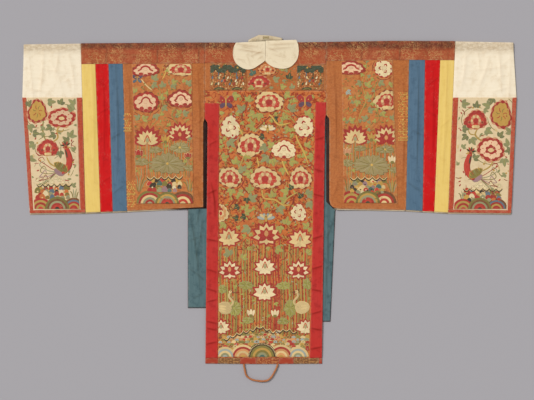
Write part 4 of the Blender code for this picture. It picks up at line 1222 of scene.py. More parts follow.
def peony(work, x, y, w, h, kind, turn):
    """A full flower on a dark outline: a scalloped rim, its petals and the marks inside."""
    build, dark, rim, body, mark = PEONY[kind]
    a = radians(turn)
    at = scaled(x, y, w, h)
    work.take(x, y, (w + h) / 4)

    def layer(middle, wide, tall, lobes, depth, turned, *how):
        line = flower_line(*at(middle)[0], w * wide, h * tall, lobes, depth, a + turned)
        work.patch(line, *how)

    def spot(middle, wide, tall, colour, edge=None, base=0.4, lobes=4, depth=0.14, width=1.4,
             grain=90):
        line = ring_of(*at(middle)[0], wide * w / 2, tall * h / 2, lobes, depth, middle[0] * 9 + a)
        work.patch(line, colour, edge, width, base, grain=grain)

    def stroke(points, width, colour, base=0.5, rise=0.25):
        work.line(at(*points), width * w, colour, base + 0.15, rise, 0.3)

    dark_reach = 1.12 if build == "loose" else 1.07
    layer((0, 0), dark_reach, dark_reach + 0.02, 11, 0.14, 0.2, dark, None, 3, -0.12)
    layer((0, 0), 1, 1, 11, 0.13, 0, rim, None, 1.2)
    if build == "arched":
        layer((0, -0.01), 0.84, 0.82, 9, 0.15, 0, body, "pink", 2, 0.2)
        for k in range(9):
            t = tau * k / 9 + a
            stroke((out(t, 0.2, 0.18), out(t, 0.33, 0.3)), 0.02, "pink", 0.5, 0.12)
        stroke(((-0.27, -0.1), (-0.17, -0.01), (-0.13, 0.12), (0, 0.21), (0.13, 0.12),
                (0.17, -0.01), (0.27, -0.1)), 0.075, mark)
        spot((0, 0), 0.16, 0.2, body, "pink", 0.5)
        side_mark = body if kind == "white" else mark
        for middle, colour in (((-0.16, -0.3), side_mark), ((0.16, -0.3), side_mark),
                               ((0, -0.4), mark)):
            spot(middle, 0.2, 0.2, colour, "pink", 0.4, 3, 0.1)
    elif build == "ringed":
        layer((0, -0.01), 0.82, 0.8, 10, 0.14, 0, body, "pink", 2.2, 0.2)
        layer((0, -0.03), 0.44, 0.42, 6, 0.24, 0.4, mark, "red", 1.6, 0.36)
        spot((0, -0.05), 0.24, 0.2, "cream", "pink", 0.5)
        for k in range(8):
            t = tau * k / 8 + a
            stroke((out(t, 0.25, 0.23), out(t, 0.31, 0.29)), 0.03, "red", 0.5, 0.12)
    elif build == "full":
        low_mark, side_mark = (rim, "red") if kind == "full" else (mark, "twig")
        layer((0, -0.03), 0.78, 0.74, 11, 0.13, 0.2, body, "crimson", 2.4, 0.2)
        for k, t in enumerate((212, 180, 148, 119, 90, 61, 32, 0, -32)):
            px, py = out(radians(t), 0.17, 0.22)
            spot((px, py - 0.04), 0.13, 0.2, mark if k % 2 else "pink", "pink", 0.36, 3, 0.1)
        spot((0, -0.05), 0.24, 0.3, "crimson", "red", 0.42, 5, 0.2)
        for px, base in ((-0.1, 0.4), (0.1, 0.4), (0, 0.45)):
            spot((px, -0.34), 0.17, 0.2, low_mark, "peach", base, 3, 0.1)
        for px in (-0.28, 0.28):
            spot((px, -0.12), 0.14, 0.16, side_mark, "pink", 0.4)
    elif build == "cupped":
        for k in range(6):
            t = a + tau * k / 9 - 0.9
            spot(out(t, 0.27), 0.25, 0.27, body, rim, 0.14 + 0.02 * k, 4, 0.14, 2, t * 57)
        layer(out(a, -0.14), 0.52, 0.56, 7, 0.18, 0, mark, "red", 1.6, 0.3)
        for k in range(4):
            t = a + pi + (k - 1.5) * 0.55
            spot(out(t, 0.34), 0.17, 0.19, rim, "pink", 0.34, 3, 0.1, grain=t * 57)
        layer(out(a, 0.02), 0.4, 0.4, 7, 0.18, 0, rim, "pink", 1.6, 0.42)
        spot((-0.01, -0.02), 0.22, 0.24, "red", "crimson", 0.56, 5, 0.16)
    elif build == "loose":
        for k in range(7):
            t = a + tau * k / 7
            wide = 0.36 - 0.04 * (k % 3)
            spot(out(t, 0.27 + 0.06 * (k % 2)), wide, 0.34, body, "cream", 0.12 + 0.02 * k, 4,
                 0.18, grain=t * 57)
        for k in range(3):
            t = a + tau * k / 3 + 0.5
            stroke((out(t - 0.5, 0.2), out(t, 0.26), out(t + 0.5, 0.17)), 0.075, mark)
            spot(out(t + 1, 0.4), 0.1, 0.12, mark, None, 0.34)
        spot((0.02, 0), 0.3, 0.28, body, "pink", 0.5, 5, 0.2)
    else:
        layer((0, 0), 0.84, 0.86, 9, 0.12, 0, body, "straw", 2.2, 0.2)
        for k in range(7):
            t = tau * k / 7 + 0.1
            stroke((out(t, 0.08), out(t + 0.2, 0.16), out(t, 0.24)), 0.035,
                   mark if k % 2 else "crimson", 0.5, 0.2)
    for _ in range(3):
        t = work.draw.uniform(0, tau)
        work.line(at(*(out(t + n * 0.35, 0.62, 0.64) for n in range(4))), 3, work.vine, -0.05, 0.3)


STAR = (  # a lotus seen in full: way and reach of each petal
    (-90, 0.44), (-46, 0.46), (226, 0.46), (-6, 0.54), (186, 0.54), (27, 0.56), (153, 0.56),
    (58, 0.6), (122, 0.6), (90, 0.68),
)


def lotus(work, x, y, w, h, fill, heart, petals=STAR, inner=0.86):
    """A lotus: pointed petals on darker ones, with a coloured middle and a pale bud."""
    work.take(x, y, (w + h) / 4)
    low, heart_reach = (0.08, 0.4) if petals is STAR else (0.34, 0.56)
    arch, tip = ("cream", "peach") if heart == "star" else ("red", "ash")
    foot = y - h * low
    for share, colour, rim, base in ((1.08, "crimson", None, -0.12), (inner, fill, "pink", 0.12)):
        for k, (t, reach) in enumerate(petals):
            length = hypot(w * reach * cos(radians(t)), h * reach * sin(radians(t)))
            work.petal(x, foot, length * share, w * 0.25 * share + 1, t, 0.5, colour, rim, 1.3,
                       base + 0.012 * k, grain=t)
    if heart == "star":
        for t in (-30, 210, 8, 172, 45, 135, 90):
            work.petal(x, foot, h * heart_reach, w * 0.18, t, 0.4, "crimson", "red", 1.3, 0.4,
                       grain=t)
    places = scaled(x, foot, w, h)((-0.12, 0), (-0.06, 0.2), (0, 0.36), (0.06, 0.2), (0.12, 0))
    work.line(places, w * 0.055, arch, 0.52, 0.2, 0.3)
    work.petal(x, foot - h * 0.02, h * 0.29, w * 0.15, 90, 0.1, tip, "gold", 1.6, 0.56)


LEAF_EDGE = {"leaf": "sage", "grey_green": "sage", "sage": "grey_green", "ash": "olive"}


def leaf(work, x, y, size, colour, turn, vein=True):
    """A three-lobed leaf with a darker edge and a vein."""
    work.take(x, y, size * 0.45)
    a = radians(turn)
    foot, tip = scaled(x, y, size, size)(out(a, -0.5), out(a, 0.3))
    edge = LEAF_EDGE.get(colour) if vein else None
    for lean, reach, base in ((50, 0.74, 0), (-50, 0.74, 0), (0, 1.0, 0.1)):
        work.petal(*foot, size * reach, size * 0.46, turn + lean, 0.25, colour, edge, 1.5, base,
                   grain=turn + lean + 40)
    if vein:
        work.line((foot, (x, y), tip), 1.6, "yellow" if colour == "leaf" else "leaf", 0.5, 0.3)


def round_leaf(work, x, y, w, h, colour, rim, dot):
    """A lotus leaf from above, ragged at its edge, with ribs and its stem's dot."""
    work.take(x, y, (w + h) / 4)
    lobes = 17 if w > 60 else 9
    work.patch(flower_line(x, y, w, h, lobes, 0.16, 0.2), colour, rim, 2.0, 0.25)
    for k in range(lobes):
        t = tau * (k + 0.5) / lobes + 0.2
        rib = scaled(x, y, w, h)(out(t, 0.08), out(t, 0.42))
        work.line(rib, 2.6, ("olive", "ash", "reed")[k % 3], 0.7, 0.2)
    if dot:
        work.ring(x, y, 5, 5, 4, 0.05, "yellow", "orange", 1.4, 0.5)


def bud(work, x, y, w, h, colour="crimson", tip="cream", turn=90):
    """Three closed petals on a green cup."""
    work.take(x, y, (w + h) / 4)
    foot = scaled(x, y, h, h)(out(radians(turn), -0.5))[0]
    for lean, base in ((26, 0), (-26, 0), (0, 0.2)):
        work.petal(*foot, h, w * 0.46, turn + lean, 0.2, colour, tip, 1.8, base, grain=turn + lean)
    work.petal(*foot, h * 0.35, w * 0.5, turn, 0, "olive", None, 1, 0.4)


def butterfly(work, x, y, w, h, wing, second):
    """A butterfly from above: two large wings, two small ones and a gold body."""
    work.take(x, y, (w + h) / 4)
    for side in (-1, 1):
        turn = 90 - side * 52
        low = 90 - side * 125
        work.petal(x, y, h * 0.62, w * 0.34, turn, -0.4, wing, second, 1.8, 0.05, grain=turn)
        work.petal(x, y, h * 0.5, w * 0.3, low, -0.35, second, wing, 1.8, 0, grain=turn)
        work.ring(x + side * w * 0.2, y + h * 0.16, 2.2, 2.2, 3, 0.05, "yellow", None, 1, 0.4)
    work.line(((x, y - h * 0.28), (x, y), (x, y + h * 0.3)), w * 0.1, "gold", 0.45)


def pair_of_wings(work, x, y, w, h, wing):
    """A small bird from above, with striped wings held out."""
    work.take(x, y, (w + h) / 4)
    for side in (-1, 1):
        for lean, reach, colour in ((12, 0.5, wing), (38, 0.44, "cream"), (66, 0.34, wing)):
            turn = 90 - side * (90 - lean)
            work.petal(x, y, w * reach, h * 0.3, turn, -0.1, colour, "blue", 1.6, 0.1, grain=turn)
    work.petal(x, y - h * 0.3, h * 0.75, w * 0.16, 90, 0.2, "gold", "brown", 1.6, 0.4)
    work.ring(x, y + h * 0.18, 2.4, 2.4, 3, 0.05, "black", None, 1, 0.7)


def heron(work, x, y, size, way):
    """A white wading bird: a plump body, a curved neck, a beak and thin legs."""
    at = scaled(x, y, way * size, size)
    head = at((0.32, 0.98))[0]
    work.take(x, y, size * 0.5)
    work.petal(*at((-0.55, 0.02))[0], size, size * 0.86, 90 - way * 98, -0.1, "sand", "cream", 2.2,
               0.35, 0.6)
    for k in range(3):
        work.petal(*at((-0.45, 0.08 - 0.13 * k))[0], size * 0.55, size * 0.16,
                   90 - way * (96 + 6 * k), 0.1, "cream", "ash", 1.4, 0.6, grain=30)
    neck = at((0.2, -0.05), (0.5, 0.3), (0.24, 0.66), (0.3, 0.96))
    work.line(neck, size * 0.16, "sand", 0.5, 0.5, 0.3)
    work.ring(*head, size * 0.13, size * 0.11, 4, 0.05, "cream", "brown", 1.2, 0.6)
    work.petal(*head, size * 0.36, size * 0.08, 90 - way * 100, 0.4, "brown", None, 1, 0.6)
    work.ring(head[0], head[1] + 1, 1.5, 1.5, 3, 0.05, "black", None, 1, 1.0)
    for side in (-0.08, 0.08):
        leg = scaled(x, y, size, size)((side, -0.35), (side, -0.75))
        work.line(leg, 2.2, "brown", 0.2)


def half_round(work, x, y, r, colours, squash=1.0, beads=None, base=0.35):
    """A hill at the foot of a panel: half rings of colour, one inside another."""
    steps = len(colours)
    for k, colour in enumerate(colours):
        reach = r * (1 - k / (steps + 0.3))
        t = np.linspace(0, pi, 17)
        arc = np.stack([x + reach * np.cos(t), y + reach * squash * np.sin(t)], 1)
        foot = np.stack([np.linspace(x - reach, x + reach, 9)[1:-1], np.full(7, y)], 1)
        work.patch(np.vstack([arc, foot]), colour, None, 1.5, base + 0.1 * k, 0.3)
    if beads:
        count = int(pi * r / 6)
        for k in range(count + 1):
            t = pi * k / count
            work.ring(x + r * 0.93 * cos(t), y + r * squash * 0.93 * sin(t), 2.1, 2.1, 3, 0.05,
                      beads, None, 1, base + 0.3)


def waves(work, left, right, low, high, colours, step=15.0, tall=1.0):
    """Rows of small wave scales, each row lapping over the one above."""
    rows = max(round((high - low) / (step * 0.55)), 1)
    for row in range(rows, -1, -1):
        y = low + (high - low) * row / rows
        x = left + (step / 2 if row % 2 else 0)
        while x < right - step * 0.3:
            wide = step * work.draw.uniform(0.45, 0.72)
            t = np.linspace(0.05, pi - 0.05, 9)
            arc = np.stack([x + wide * np.cos(t),
                            y + wide * tall * work.draw.uniform(0.8, 1.15) * np.sin(t)], 1)
            foot = np.stack([[x - wide * 0.55, x + wide * 0.55], [y - 1.5, y - 1.5]], 1)
            fill, edge = work.draw.choice(colours), work.draw.choice(("cream", "olive", "peach",
                                                                      "gold"))
            work.patch(np.vstack([arc, foot]), fill, edge, 1.8, 0.05 + 0.1 * (rows - row) / rows,
                       0.35)
            if work.draw.random() < 0.4:
                work.ring(x, y + wide * 0.4, wide * 0.3, wide * 0.26, 3, 0.1,
                          work.draw.choice(colours), None, 1, 0.15)
            x += step * work.draw.uniform(0.85, 1.1)


def crest(work, places, size):
    """The dark edge of the sea: small arcs that hang side by side and rise to a few peaks."""
    path, run = [places[0]], [0.0]
    for a, b in zip(places, places[1:]):
        run.append(run[-1] + hypot(b[0] - a[0], b[1] - a[1]))
    count = max(round(run[-1] / size), 1)
    xs, ys = [p[0] for p in places], [p[1] for p in places]
    for k in range(count):
        at = [np.interp(run[-1] * (k + part / 4) / count, run, xs) for part in range(5)]
        up = [np.interp(run[-1] * (k + part / 4) / count, run, ys) for part in range(5)]
        sag = [0, size * 0.3, size * 0.42, size * 0.3, 0]
        arc = [(x, y - drop) for x, y, drop in zip(at, up, sag)]
        work.line([(x, y + size * 0.16) for x, y in arc], size * 0.13, "cream", 0.3, 0.3)
        work.line(arc, size * 0.19, "black", 0.34, 0.35)


def strew(work, left, right, low, high, gap, kinds, tries):
    """Small leaves, buds and twigs that fill what is left between the flowers."""
    draw = work.draw
    for _ in range(tries):
        x, y = draw.uniform(left, right), draw.uniform(low, high)
        kind, colour, size = draw.choice(kinds)
        if not work.free(x, y, size * gap):
            continue
        turn = draw.uniform(0, 360)
        if kind == "leaf":
            leaf(work, x, y, size, colour, turn, False)
        elif kind == "petal":
            work.take(x, y, size * 0.3)
            work.petal(x, y, size, size * 0.42, turn, 0.25, colour, None, 1.5, grain=turn)
        elif kind == "dot":
            work.take(x, y, size * 0.4)
            work.ring(x, y, size / 2, size / 2, 4, 0.1, colour, None, 1)
        else:
            work.take(x, y, size * 0.15)
            a, b = radians(turn), radians(turn + draw.uniform(-50, 50))
            bend = (x + cos(a) * size / 2, y + sin(a) * size / 2)
            work.line(((x, y), bend, (bend[0] + cos(b) * size / 2, bend[1] + sin(b) * size / 2)),
                      draw.uniform(2.0, 4.0), colour)


def inside(left, right, low, high, margin=2.5):
    """Keeps a panel's stitches inside its edges, given as x or y at the foot and at the top."""

    def hold(places):
        share = np.clip((places[:, 1] - low) / (high - low), 0, 1)
        x = np.clip(places[:, 0], left[0] + (left[1] - left[0]) * share + margin,
                    right[0] + (right[1] - right[0]) * share - margin)
        return np.stack([x, np.clip(places[:, 1], low + margin, high - margin)], 1)

    return hold


def sew(work, motif, *rows):
    """Stitches one kind of motif at each of its places."""
    for row in rows:
        motif(work, *row)


SEA = ("crimson", "peach", "cream", "gold", "sage", "pale_blue", "brown", "olive", "reed", "red")
HILL = {
    "red": ("olive", "crimson", "cream", "sage", "crimson", "sage"),
    "green": ("olive", "gold", "sage", "crimson", "red", "dark_green"),
    "blue": ("brown", "blue", "crimson", "straw", "crimson", "red"),
    "teal": ("black", "olive", "gold", "olive", "sage", "teal"),
    "pale": ("cream", "pale_blue", "cream", "sage", "pale_blue"),
    "peach": ("cream", "crimson", "peach", "cream", "peach", "gold"),
    "brown": ("brown", "crimson", "cream", "red", "cream"),
    "gold": ("crimson", "straw", "crimson", "straw", "red"),
    "dark": ("olive", "brown", "sage", "crimson", "red", "black"),
}
BACK_FILL = (("line", "twig", 28), ("line", "crimson", 22), ("line", "twig", 16),
             ("line", "crimson", 30), ("leaf", "leaf", 16), ("petal", "leaf", 14),
             ("petal", "twig", 11), ("petal", "crimson", 10), ("dot", "olive", 6),
             ("petal", "ash", 11), ("line", "twig", 20))


# The back panel, from its flowers down to the sea.
work = Stitching("back_panel_stitches", grounds["body"], 0,
                 inside((-186.5, -181), (144.5, 165.6), -568, 390), 33)
sew(
    work, peony,
    (-1.8, 353, 111.6, 75.6, "full", 0), (-140.4, 261.2, 72, 79.2, "loose", 200),
    (-68.4, 196.4, 97.2, 90, "full", 160), (124.2, 263, 75.6, 72, "loose", 70),
    (52.2, 180.2, 86.4, 68.4, "white", 10), (-142.2, 81.2, 86.4, 79.2, "full", 250),
    (-16.2, 77.6, 111.6, 82.8, "full", 50), (111.6, 77.6, 86.4, 79.2, "full", 0),
    (104.4, -46.6, 57.6, 61.2, "loose", 20), (-174.6, -48.4, 54, 72, "cupped", -50),
)
butterfly(work, -156.6, 347.6, 61.2, 57.6, "crimson", "purple")
butterfly(work, 127.8, 351.2, 61.2, 57.6, "crimson", "purple")
pair_of_wings(work, -6.8, 250.4, 61.2, 39.6, "white")
pair_of_wings(work, -12.6, -70, 68.4, 43.2, "pale_blue")
for n, (x, y) in enumerate((
    (-117, 372.8), (-73.8, 365.6), (-106.2, 329.6), (-66.6, 304.4), (-37.8, 293.6),
    (66.6, 372.8), (84.6, 333.2), (52.2, 300.8), (-70.2, 264.8), (63, 246.8), (-135, 200),
    (-156.6, 153.2), (-120.6, 142.4), (-77.4, 128), (-19.8, 144.2), (12.6, 131.6),
    (88.2, 135.2), (140.4, 200), (-102.6, 113.6), (-84.6, 92), (-138.6, 23.6), (-100.8, 20),
    (-55.8, 9.2), (9, 21.8), (52.2, 30.8), (-12.6, -23.2), (41.4, -41.2), (-73.8, -41.2),
    (63, -73.6), (127.8, -91.6), (-88.2, -109.6), (37.8, -109.6), (37.8, -181.6),
    (-88.2, -203.2), (-151.2, -187), (142.2, 153.2), (-185.4, 203.6), (-181.8, 131.6),
    (149.4, 23.6), (-70.2, 45.2), (45, 2), (-171, -95.2), (149.4, -23.2), (-174.6, 311.6),
    (142.2, 315.2), (1.8, 200), (-27, 185.6), (48.6, 99.2), (-77.4, 153.2), (145.8, -185.2),
)):
    leaf(work, x, y, (30, 26, 33, 28)[n % 4], ("leaf", "leaf", "grey_green", "leaf")[n % 4],
         n * 67 % 360)
for x, y in ((-30.6, 225.2), (76, 47), (-81, -5.2), (-120.6, -28.6), (-124.2, -66.4),
             (-97.2, -62.8), (109.8, 16.4), (23.4, 286.4)):
    leaf(work, x, y, 22, "dark_green", (x + y) % 360)
for colour, width, stems in (
    ("yellow", 7, (
        ((-1.8, 304.4), (9, 297.2), (34.2, 268.4), (76, 275.6)),
        ((95.4, 232.4), (102.6, 210.8), (124.2, 169.4), (140.4, 124.4)),
        ((45, 138.8), (55.8, 113.6), (70.2, 86.6)),
    )),
    ("yellow", 6, (
        ((-113.4, 261.2), (-102.6, 246.8), (-95.4, 228.8)),
        ((-45, 153.2), (-41.4, 135.2), (-37.8, 117.2)),
    )),
    ("yellow", 7, (
        ((-27, 34.4), (-19.8, 5.6), (19.8, -1.6), (48.6, -19.6), (77.4, -19.6)),
    )),
    ("straw", 6, (
        ((48.6, -19.6), (66.6, 5.6), (102.6, 27.2)),
        ((-91.8, 156.8), (-102.6, 128), (-113.4, 106.4)),
        ((48.6, 315.2), (77.4, 293.6), (95.4, 272)),
    )),
    ("twig", 5, (
        ((-91.8, 387.2), (-81, 344), (-99, 300.8), (-88.2, 257.6)),
        ((81, 383.6), (70.2, 344), (88.2, 308), (109.8, 293.6)),
        ((19.8, 315.2), (-19.8, 279.2), (-52.2, 250.4)), ((19.8, 232.4), (9, 185.6), (-5.4, 128)),
        ((-120.6, 214.4), (-149.4, 178.4), (-135, 128)),
        ((-106.2, 56), (-77.4, 23.6), (-41.4, -1.6), (-27, -44.8)),
        ((73.8, 27.2), (88.2, -1.6), (73.8, -37.6), (95.4, -88)),
        ((-149.4, 34.4), (-127.8, -1.6), (-149.4, -30.4)),
        ((145.8, 239.6), (131.4, 200), (149.4, 171.2)),
    )),
):
    for points in stems:
        work.line(points, width, colour, 0.0 if colour == "twig" else 0.3)
for n in range(30):
    x = -183.6 + n * 11 + work.draw.uniform(-2, 2)
    colour = ("straw", "reed", "straw", "leaf", "reed")[n % 5]
    if 1.8 < x < 37.8:
        colour = "crimson"
    top = -140 - (n * 37 % 5) * 12
    work.line(((x, -491.2), (x + 2, -361.6), (x - 3, -253.6), (x + 1, top)), 5.6, colour,
              -0.15, 0.35, 0.2)
    work.line(((x + 5.5, -484), (x + 6.5, -361.6), (x + 4, top + 4)), 3.4,
              ("twig", "crimson", "olive")[n % 3], -0.1, 0.3, 0.2)
sew(
    work, lotus,
    (-145.8, -136.6, 86.4, 68.4, "cream", "bud"),
    (-11.2, -125.1, 104.4, 82.8, "cream", "star"), (109.8, -143.4, 90, 68.4, "cream", "bud"),
    (-143.3, -253.6, 82.8, 68.4, "white", "star"), (-16.2, -241.7, 82.8, 64.8, "white", "bud"),
    (104, -253.6, 82.8, 68.4, "white", "star"), (-17.6, -332.8, 90, 64.8, "white", "bud"),
    (-174.6, -458.8, 72, 54, "white", "bud"), (129.2, -458.8, 72, 54, "white", "bud"),
)
for x, y, w, h in ((-127.8, -390.4, 61.2, 54), (-84.6, -307.6, 57.6, 32.4),
                   (50.8, -309.4, 54, 32.4), (73.8, -390.4, 46.8, 61.2),
                   (-171, -322, 36, 32.4), (135, -304, 32.4, 43.2),
                   (-77.4, -433.6, 46.8, 25.2), (48.6, -437.2, 46.8, 25.2)):
    round_leaf(work, x, y, w, h, "leaf", "sage", False)
bud(work, -66.6, -407, 28.8, 32.4, "white", "crimson")
bud(work, 19.8, -408.4, 28.8, 32.4, "white", "crimson")
heron(work, -158.4, -386.8, 55.8, 1)
heron(work, 115.2, -385, 55.8, -1)
waves(work, -185.4, 149.4, -541.6, -498.4, SEA, 17)
waves(work, -91.8, 37.8, -505.6, -480.4, SEA, 15)
crest(work,
      ((-163.8, -502), (-138.6, -491.2), (-113.4, -480.4), (-88.2, -473.2), (-63, -466),
       (-36, -455.2), (-12.6, -462.4), (12.6, -473.2), (37.8, -469.6), (66.6, -466),
       (96.8, -476.8)), 24)
for x, r, kind in ((-160.2, 39.6, "pale"), (102.6, 39.6, "pale"), (-95.4, 46.8, "peach"),
                   (41.4, 46.8, "peach")):
    half_round(work, x, -567.9, r, HILL[kind])
half_round(work, -26.3, -567.9, 52.6, HILL["teal"], 1.0, "cream", 0.75)
strew(work, -182, 160, -181.6, 388, 0.34, BACK_FILL, 3600)
strew(work, -182, 150, -469.6, -181.6, 0.45, BACK_FILL, 400)
work.finish()


# Embroidery of the yoke and its two patches: two flowers below the neck, and on the brocade
# patches rows of tufts, uprights and small petals in darker silk.
FILL = (("leaf", "leaf", 15), ("leaf", "grey_green", 14), ("petal", "leaf", 13),
        ("petal", "reed", 9), ("line", "twig", 24), ("line", "olive", 18), ("line", "straw", 20),
        ("line", "reed", 22), ("petal", "gold", 9), ("dot", "olive", 6), ("petal", "olive", 12),
        ("line", "sage", 22))
TUFT = 20  # width of the yoke patch for each tuft


# The two flowers of the yoke, and then the two patches.
work = Stitching("yoke_stitches", grounds["body"], 0, inside((-81, -81), (95, 95), 393, 489),
                 34)
peony(work, -7.2, 470, 68.4, 46.8, "orange", 0)
peony(work, -37.8, 423.2, 79.2, 46.8, "rose", 20)
sew(
    work, leaf,
    (-63, 459.2, 24, "teal", 120), (27, 434, 24, "grey_green", 30),
    (72, 446.2, 24, "dark_green", 80), (-68, 400.5, 22, "leaf", 200),
    (52.2, 405.2, 22, "leaf", 10), (45, 473.6, 20, "leaf", 60),
    (81, 408.8, 20, "grey_green", 100),
)
strew(work, -80, 92, 396, 486, 0.45, FILL, 160)
work.finish()
for side, (left, right), high, seed in (("left", (-215, -83), 489, 35),
                                        ("right", (97, 196), 484, 36)):
    work = Stitching(f"yoke_patch_{side}_stitches", grounds["body"], APPLIED_LIFT,
                     inside((left, left), (right, right), 393, high), seed)
    count = int((right - left) / TUFT)
    for n in range(count):
        x = left + 12 + n * (right - left - 24) / max(count - 1, 1)
        for low in (412, 428, 444):
            work.line(((x - 3, low), (x - 1, low + 7), (x - 4, low + 14)), 4,
                      ("olive", "blue", "dark_green")[n % 3], 0.1)
        work.ring(x + 3, 474 - (n % 2) * 8, 15, 12, 6, 0.2, "dark_green", "black", 2.5, 0.2)
        work.ring(x - 6, 462 + (n % 2) * 16, 10, 7, 5, 0.2, "dark_green", "teal", 2, 0.3)
        if n % 3 == 1:
            work.ring(x + 2, 474, 4, 4, 4, 0.1, "gold", "brown", 1.4, 0.4)
            half_round(work, x, 394, 20, ("dark_green", "olive", "dark_green"), 0.5)
        for m in range(4):
            colour = ("cream", "crimson", "blue", "orange", "peach", "white",
                      "dark_green")[(n * 3 + m * 2) % 7]
            work.petal(x - 8 + 5 * m, 410 + (n + 2 * m) % 3 * 11, 14, 7, 60 + 20 * (m % 3),
                       0.2, colour, "brown", 1.2, 0.15 + 0.02 * m)
    strew(work, left + 5, right - 5, 396, high - 4, 0.5,
          (("petal", "peach", 9), ("petal", "olive", 10), ("line", "brown", 14),
           ("petal", "cream", 8)), 160)
    work.finish()


# Embroidery of the fields on the sleeves: four full flowers over two lotuses, lotus leaves and
# reeds, with the sea and three hills at the foot, in the same raised satin stitch.
FAN = (  # a lotus seen from the side: way and reach of each petal
    (2, 0.56), (178, 0.56), (24, 0.62), (156, 0.62), (46, 0.72), (134, 0.72), (68, 0.82),
    (112, 0.82), (90, 0.88),
)
REED_GAP = 9.5
BRIGHT_SEA = ("crimson", "teal", "cream", "gold", "black", "sage", "red", "white", "olive",
              "mauve")


def blades(work, x, y, count, spread_out, high, colours):
    """A tuft of grass blades that fan out from one place."""
    for n in range(count):
        share = n / max(count - 1, 1) - 0.5
        tip = x + spread_out * share * 2
        work.line(((x + share * 10, y), ((x + tip) / 2 + share * 3, y + high * 0.6),
                   (tip, y + high * (1 - share * share))), 4.2, colours[n % len(colours)], 0.05,
                  0.35, 0.8)


def reeds(work, left, right, low, high):
    """Upright stems in the water, of uneven height, which the flowers and leaves lie over."""
    count = int((right - left) / REED_GAP)
    for n in range(count + 1):
        x = left + (right - left) * n / count + work.draw.uniform(-2.5, 2.5)
        top = high - work.draw.uniform(0, 40) - (22 if n % 3 == 1 else 0)
        work.line(((x, low), (x + work.draw.uniform(-4, 4), (low + top) / 2),
                   (x + work.draw.uniform(-5, 5), top)), 3.8,
                  ("sage", "grey_green", "leaf", "sage", "olive")[n % 5], -0.15, 0.3, 0.5)


def sew_foot(work, tufts, sea, colours, edge, arc, hills, level):
    """The foot of a panel: tufts of grass, small waves under a dark crest, and three hills."""
    sew(work, blades, *tufts)
    waves(work, *sea, colours, 19, 1.5)
    crest(work, edge, arc)
    for x, r, kind, base in hills:
        half_round(work, x, level, r, HILL[kind], base=base)


def sew_field(side, hold, seed, stems, flowers, between, lotuses, middle_bud, pads, buds, strewn,
              **foot):
    """A sleeve's field, from the reeds that all the rest lies over to what is strewn last."""
    work = Stitching(f"{side}_field_stitches", grounds[side], APPLIED_LIFT, hold, seed)
    reeds(work, *stems)
    sew(work, peony, *flowers)
    for motif, *rows in between:
        sew(work, motif, *rows)
    sew(work, lotus, *lotuses)
    bud(work, *middle_bud, 25.2, 36, "gold", "crimson")
    for x, y, w, h, dot in pads:
        round_leaf(work, x, y, w, h, "pad", "reed", dot)
    sew(work, bud, *buds)
    sew_foot(work, colours=BRIGHT_SEA, arc=25, **foot)
    strew(work, *strewn, 0.42, FILL, 900 if side == "left" else 800)
    work.finish()


sew_field(
    "left", inside((-480, -496), (-272, -279), -16, 489), 31, (-487.8, -275.4, 77.6, 243.2),
    flowers=(
        (-446, 468.2, 100.8, 54, "arched", 10), (-318.6, 470, 100.8, 54, "full", 30),
        (-444.6, 351.2, 93.6, 79.2, "arched", 0), (-318.6, 362, 93.6, 68.4, "arched", 40),
    ),
    between=(
        (butterfly, (-475.6, 432.2, 32.4, 39.6, "purple", "blue")),
        (Stitching.line, (((-460.8, 432.2), (-441, 408.8), (-420.8, 392.2)), 5, "cream"),
         (((-372.6, 463.9), (-376.2, 448.4), (-384.8, 432.2)), 5, "yellow"),
         (((-383.4, 430.4), (-394.2, 394.4), (-383.4, 344), (-401.4, 293.6), (-430.2, 257.6)), 4,
          "straw"),
         (((-336.6, 329.6), (-351, 300.8), (-329.4, 272)), 4, "reed")),
        (leaf,
         (-410, 441.2, 26, "grey_green", 60), (-410, 408.8, 24, "grey_green", -30),
         (-384.8, 416, 24, "grey_green", 100), (-338.4, 423.2, 24, "leaf", 20),
         (-342.7, 405.2, 22, "grey_green", -60), (-286.2, 421.8, 26, "grey_green", 50),
         (-387, 371, 24, "leaf", 80), (-374.4, 326, 24, "grey_green", -40),
         (-477.7, 297.2, 22, "grey_green", 150), (-444.6, 293.6, 24, "leaf", 30),
         (-406.1, 295, 24, "grey_green", -70), (-328, 316.3, 22, "leaf", 130),
         (-298.1, 311.6, 24, "grey_green", 20), (-487.8, 394.4, 22, "leaf", 120),
         (-279, 387.2, 20, "leaf", -20)),
    ),
    lotuses=((-439.2, 228.8, 97.2, 68.4, "cream", "bud", FAN, 0.74),
             (-322.2, 246.8, 86.4, 57.6, "cream", "star", FAN, 0.84)),
    middle_bud=(-374.4, 218.7),
    pads=((-408.6, 178.4, 50.4, 25.2, False), (-322.2, 187, 79.2, 39.6, True),
          (-366.8, 129.1, 140.4, 75.6, True), (-459, 135.2, 57.6, 28.8, False),
          (-286.2, 113.6, 43.2, 25.2, False)),
    buds=((-471.6, 165.8, 43.2, 32.4), (-293.4, 157.5, 36, 25.2)),
    tufts=((-469.8, 27.2, 6, 38, 62, ("sage", "olive", "grey_green")),
           (-286.2, 27.2, 5, 26, 50, ("olive", "sage", "leaf"))),
    sea=(-430.2, -315, 27.2, 61.4), edge=((-441, 79.4), (-376.2, 81.2), (-311.4, 83)),
    hills=((-430.2, 50.4, "red", 0.2), (-311.4, 46.8, "brown", 0.2),
           (-367.9, 44.3, "green", 0.7)), level=-17.1, strewn=(-492, -284, 106.4, 484),
)
